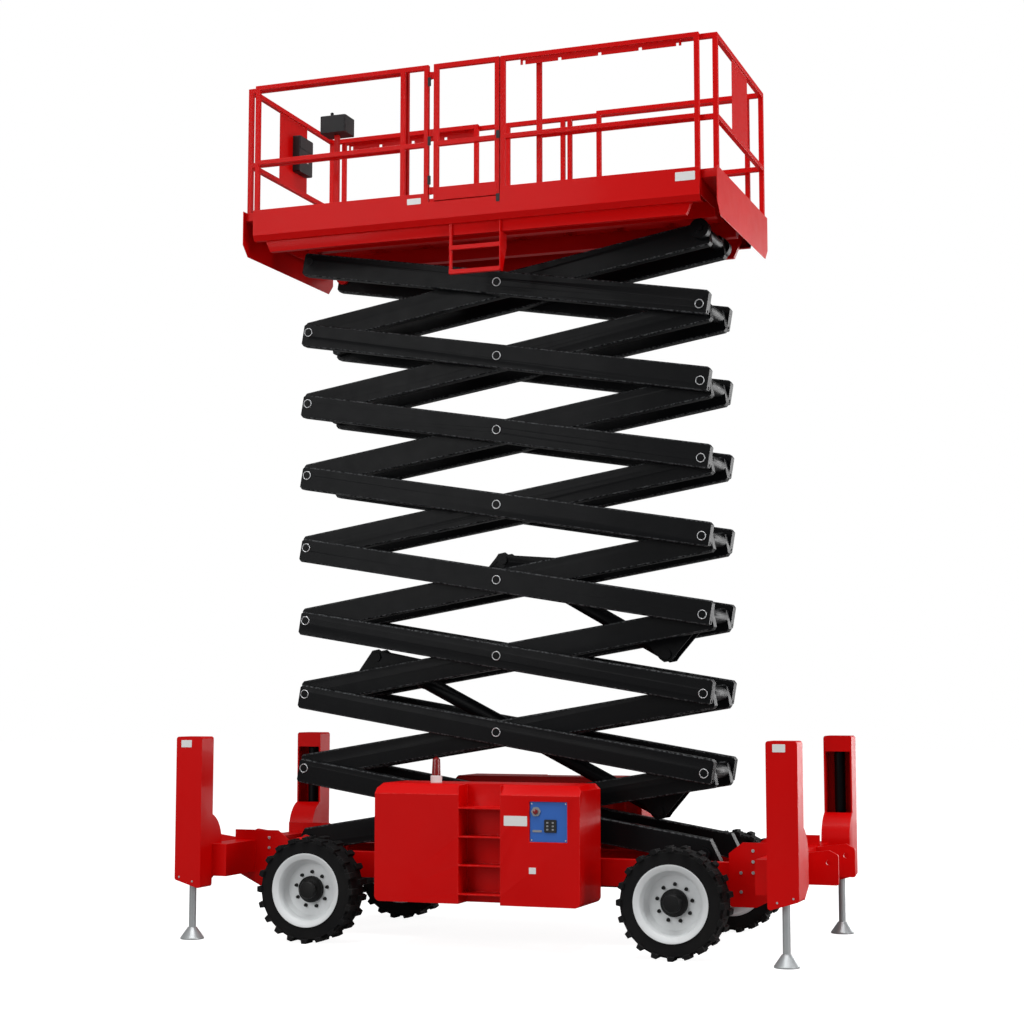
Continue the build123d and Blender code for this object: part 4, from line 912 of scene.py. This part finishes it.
def plate_tree():
    """A flat piece with round corners, standing on its point and turned about its aim."""
    tree, given, out = geometry_tree("flat_piece", [
        ("Width", "NodeSocketFloat", 0.1), ("Height", "NodeSocketFloat", 0.05),
        ("Corner", "NodeSocketFloat", 0.006), ("Thickness", "NodeSocketFloat", 0.002),
        ("Turn", "NodeSocketFloat", 0.0), ("Finish", "NodeSocketMaterial", None),
    ])
    outline = wired(tree, "GeometryNodeCurvePrimitiveQuadrilateral", {
        "Width": given.outputs["Width"], "Height": given.outputs["Height"],
    })
    rounded = wired(tree, "GeometryNodeFilletCurve", {
        "Curve": outline.outputs[0], "Radius": given.outputs["Corner"], "Count": 4,
    }, mode="POLY")
    sheet = wired(tree, "GeometryNodeFillCurve", {"Curve": rounded.outputs[0]}, mode="NGONS")
    up = wired(tree, "ShaderNodeCombineXYZ", {"Z": 1.0})
    raised = wired(tree, "GeometryNodeExtrudeMesh", {
        "Mesh": sheet.outputs[0], "Offset": up.outputs[0],
        "Offset Scale": given.outputs["Thickness"], "Individual": False,
    }, mode="FACES")
    back = wired(tree, "GeometryNodeFlipFaces", {"Mesh": sheet.outputs[0]})
    joined = tree.nodes.new("GeometryNodeJoinGeometry")
    tree.links.new(raised.outputs[0], joined.inputs[0])
    tree.links.new(back.outputs[0], joined.inputs[0])
    roll = wired(tree, "ShaderNodeCombineXYZ", {"Z": given.outputs["Turn"]})
    turned = wired(tree, "GeometryNodeTransform", {
        "Geometry": joined.outputs[0], "Rotation": roll.outputs[0],
    })
    end_tree(tree, out, turned.outputs[0], given)
    return tree


flats = plate_tree()


def flat(name, body, finish, size, places, turn=0.0):
    """Flat pieces of one size (width, height, corner, thickness) at the (place, direction) rows."""
    sizes = dict(zip(("Width", "Height", "Corner", "Thickness"), size), Turn=turn)
    return grown(name, flats, sizes, finish, body, places)


print("a flat piece takes width, height, corner and thickness")

# %% [markdown]
# The cross beam of each outrigger is wider than its column, so a strip of its open end shows
# beside the column. A red cap closes it, as the weld-on caps of such beams do.

# %% Cap the cross beams

BEAM_END_Y = 1.0025
CAP_X, CAP_Z = 2.266, 0.630
CAP_SIZE = (0.130, 0.256, 0.006, 0.005)

for end, forward in BOTH_ENDS:
    spots = [
        (Vector((forward * CAP_X, side * BEAM_END_Y, CAP_Z)), Vector((0, side, 0)))
        for side in BOTH_SIDES
    ]
    flat(f"{end}_beam_caps", "chassis", "red_paint", CAP_SIZE, spots)
print("caps on four beam ends")

# %% [markdown]
# The fascia, the jack columns, the entry compartment and the lowest falling arm carry small blank
# plates. Each takes its height along Y and its body from the node that carries it. The two of the
# arm follow its slope. They lie on the plane of the beam's inner face, where the beam covers them.

# %% Put up the blank plates

PLATE_CORNER, PLATE_THICKNESS = 0.005, 0.0015
PLATES = [
    # name, node that carries it, width, height, (x, z) of the middle
    ("deck_plate_front", "platform_deck", 0.160, 0.070, (1.684, 6.005)),
    ("deck_plate_rear", "platform_deck", 0.122, 0.050, (-0.615, 6.012)),
    ("chest_plate_wide", "entry_compartment", 0.190, 0.076, (0.352, 1.008)),
    ("chest_plate_small", "entry_compartment", 0.056, 0.048, (0.490, 0.634)),
    ("front_column_plate", "front_outriggers", 0.095, 0.058, (2.432, 1.583)),
    ("rear_column_plate", "rear_outriggers", 0.095, 0.058, (-2.475, 1.578)),
]
for name, carrier, width, height, (x, z) in PLATES:
    spot = [(Vector((x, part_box(carrier)[0].y, z)), RIGHT)]
    size = (width, height, PLATE_CORNER, PLATE_THICKNESS)
    flat(name, body_of[carrier], "white_plate", size, spot)

ARM_FACE = 0.305
ARM_PLATE_SHAPE, ARM_PLATE_CORNER = 0.8, 0.004
ARM_PLATES = [(0.112, 0.062), (3.300, 0.070)]  # run along the arm from its upper pin, width
upper = pin_at["left_pin_1"]
along = (pin_at["centre_pin_1"] - upper).normalized()
tilt = math.atan2(along.z, along.x)
for index, (run, width) in enumerate(ARM_PLATES):
    place = upper + run * along
    spot = [(Vector((place.x, -ARM_FACE, place.z)), RIGHT)]
    size = (width, width * ARM_PLATE_SHAPE, ARM_PLATE_CORNER, PLATE_THICKNESS)
    flat(f"arm_plate_{index + 1}", "outer_arm_1", "white_plate", size, spot, tilt)
print(len(PLATES) + len(ARM_PLATES), "blank plates")

# %% [markdown]
# ## The ground controls
# On the blue panel sit a red stop button inside a six-sided guard, a black keypad with two columns
# of keys, and a pale strip. The button is a stem with a wider, domed head, turned from an outline.

# %% Fit the ground controls

panel_low, panel_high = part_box("control_panel")


def on_panel(across, up):
    """A place on the panel's face, as shares of its width and height."""
    return Vector((
        panel_low.x + across * (panel_high.x - panel_low.x), panel_low.y,
        panel_low.z + up * (panel_high.z - panel_low.z),
    ))


def turned_button(name, body, place, aim, outline, finish, steps=32):
    """A round knob turned from (radius, height) rows, standing on place and facing aim."""
    turns = [2 * math.pi * step / steps for step in range(steps)]
    ring = [
        (radius * math.cos(turn), radius * math.sin(turn), height)
        for radius, height in outline for turn in turns
    ]
    faces = [
        (row * steps + step, row * steps + (step + 1) % steps,
         (row + 1) * steps + (step + 1) % steps, (row + 1) * steps + step)
        for row in range(len(outline) - 1) for step in range(steps)
    ]
    faces.append(tuple(range((len(outline) - 1) * steps, len(outline) * steps)))
    mesh = bpy.data.meshes.new(name)
    mesh.from_pydata(ring, [], faces)
    mesh.transform(Matrix.Translation(place) @ aim.to_track_quat("Z", "Y").to_matrix().to_4x4())
    for face in mesh.polygons:
        face.use_smooth = True
    mesh.set_sharp_from_angle(angle=SMOOTH_ANGLE)
    return store(mesh, name, body, (), finish)


STOP_OUTLINE = [
    (0.011, 0.0), (0.011, 0.014), (0.019, 0.016), (0.020, 0.022), (0.017, 0.028), (0.006, 0.030),
]
stop_place = on_panel(0.17, 0.75)
turned_button("ground_stop", "chassis", stop_place, RIGHT, STOP_OUTLINE, "lens_red")
guard = {"Across": 0.066, "Height": 0.012, "Washer Radius": 0.036}
grown("stop_guard", bolts, guard, "grey_plastic", "chassis", [(stop_place, RIGHT)])

KEYPAD = (0.098, 0.098, 0.008, 0.010)
KEY, KEY_PITCH = (0.016, 0.012, 0.003, 0.003), (0.022, 0.026)
STRIP = (0.075, 0.016, 0.003, 0.004)
SCREW_SIZES = {"Radius": 0.006, "Height": 0.003}
keypad_place = on_panel(0.55, 0.40)
flat("ground_keypad", "chassis", "dark_plastic", KEYPAD, [(keypad_place, RIGHT)])
keys = [
    (keypad_place + Vector((KEY_PITCH[0] * across, -KEYPAD[3], KEY_PITCH[1] * up)), RIGHT)
    for across in (-1, 1) for up in (-1, 0, 1)
]
flat("ground_keys", "chassis", "grey_plastic", KEY, keys)
flat("ground_strip", "chassis", "grey_plastic", STRIP, [(on_panel(0.20, 0.27), RIGHT)])
panel_screws = [(on_panel(across, up), RIGHT) for across in (0.05, 0.95) for up in (0.05, 0.95)]
grown("panel_screws", caps, SCREW_SIZES, "zinc", "chassis", panel_screws)
print("ground controls:", len(keys), "keys and", len(panel_screws), "screws")

# %% [markdown]
# ## On the platform
# The gate hangs on three black hinge blocks and closes against two black latch blocks. The control
# box has a stick with a round grip, a stop button and two rows of keys. The document box has a
# lid, and a blank plate under it.

# %% Hang the platform's small pieces

HINGE_HEIGHTS = (7.010, 6.510, 6.180)
LATCH_HEIGHTS = (6.505, 5.980)
HINGE_X, LATCH_X = -0.482, 0.122
RAIL_FACE = 0.878
HINGE_BLOCK = (0.026, 0.075, 0.005, 0.008)
LATCH_BLOCK = (0.030, 0.065, 0.005, 0.010)

hinge_places = [(Vector((HINGE_X, -RAIL_FACE, z)), RIGHT) for z in HINGE_HEIGHTS]
flat("gate_hinge_blocks", "platform", "dark_plastic", HINGE_BLOCK, hinge_places)
latch_places = [(Vector((LATCH_X, -RAIL_FACE, z)), RIGHT) for z in LATCH_HEIGHTS]
flat("gate_latch_blocks", "platform", "dark_plastic", LATCH_BLOCK, latch_places)

UP = Vector((0, 0, 1))
STICK_OUTLINE = [
    (0.026, 0.0), (0.022, 0.008), (0.010, 0.014), (0.009, 0.034),
    (0.014, 0.042), (0.015, 0.056), (0.008, 0.062),
]
STICK_PLACE, STOP_PLACE = Vector((-0.06, 0.02, 0)), Vector((0.06, 0.045, 0))
FIRST_KEY, BOX_KEY_PITCH = Vector((0.02, -0.05, 0)), 0.024
BOX_KEY = (0.015, 0.015, 0.003, 0.004)
control_low, control_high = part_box("control_box")
control_mid = (control_low + control_high) / 2
lid = Vector((control_mid.x, control_mid.y, control_high.z))
box_body = body_of["control_box"]
turned_button("platform_stick", box_body, lid + STICK_PLACE, UP, STICK_OUTLINE, "dark_plastic")
turned_button("platform_stop", box_body, lid + STOP_PLACE, UP, STOP_OUTLINE, "lens_red")
keys = [
    (lid + FIRST_KEY + BOX_KEY_PITCH * Vector((column, row, 0)), UP)
    for column in range(3) for row in range(2)
]
flat("platform_keys", box_body, "grey_plastic", BOX_KEY, keys)

FORWARDS = Vector((1, 0, 0))
PAPERS_LID, PAPERS_LID_DROP = (0.110, 0.250, 0.010, 0.006), 0.060
PAPERS_PLATE, PAPERS_PLATE_DROP = (0.060, 0.090, 0.004, 0.0015), 0.030
papers_low, papers_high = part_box("document_box")
papers_mid = (papers_low + papers_high) / 2
lid_place = Vector((papers_high.x, papers_mid.y, papers_high.z - PAPERS_LID_DROP))
plate_place = Vector((papers_high.x, papers_mid.y, papers_mid.z - PAPERS_PLATE_DROP))
flat("document_lid", body_of["document_box"], "dark_plastic", PAPERS_LID, [(lid_place, FORWARDS)])
flat("document_plate", body_of["document_box"], "white_plate", PAPERS_PLATE, [(plate_place, FORWARDS)])
print("hinges, latches and controls on the platform")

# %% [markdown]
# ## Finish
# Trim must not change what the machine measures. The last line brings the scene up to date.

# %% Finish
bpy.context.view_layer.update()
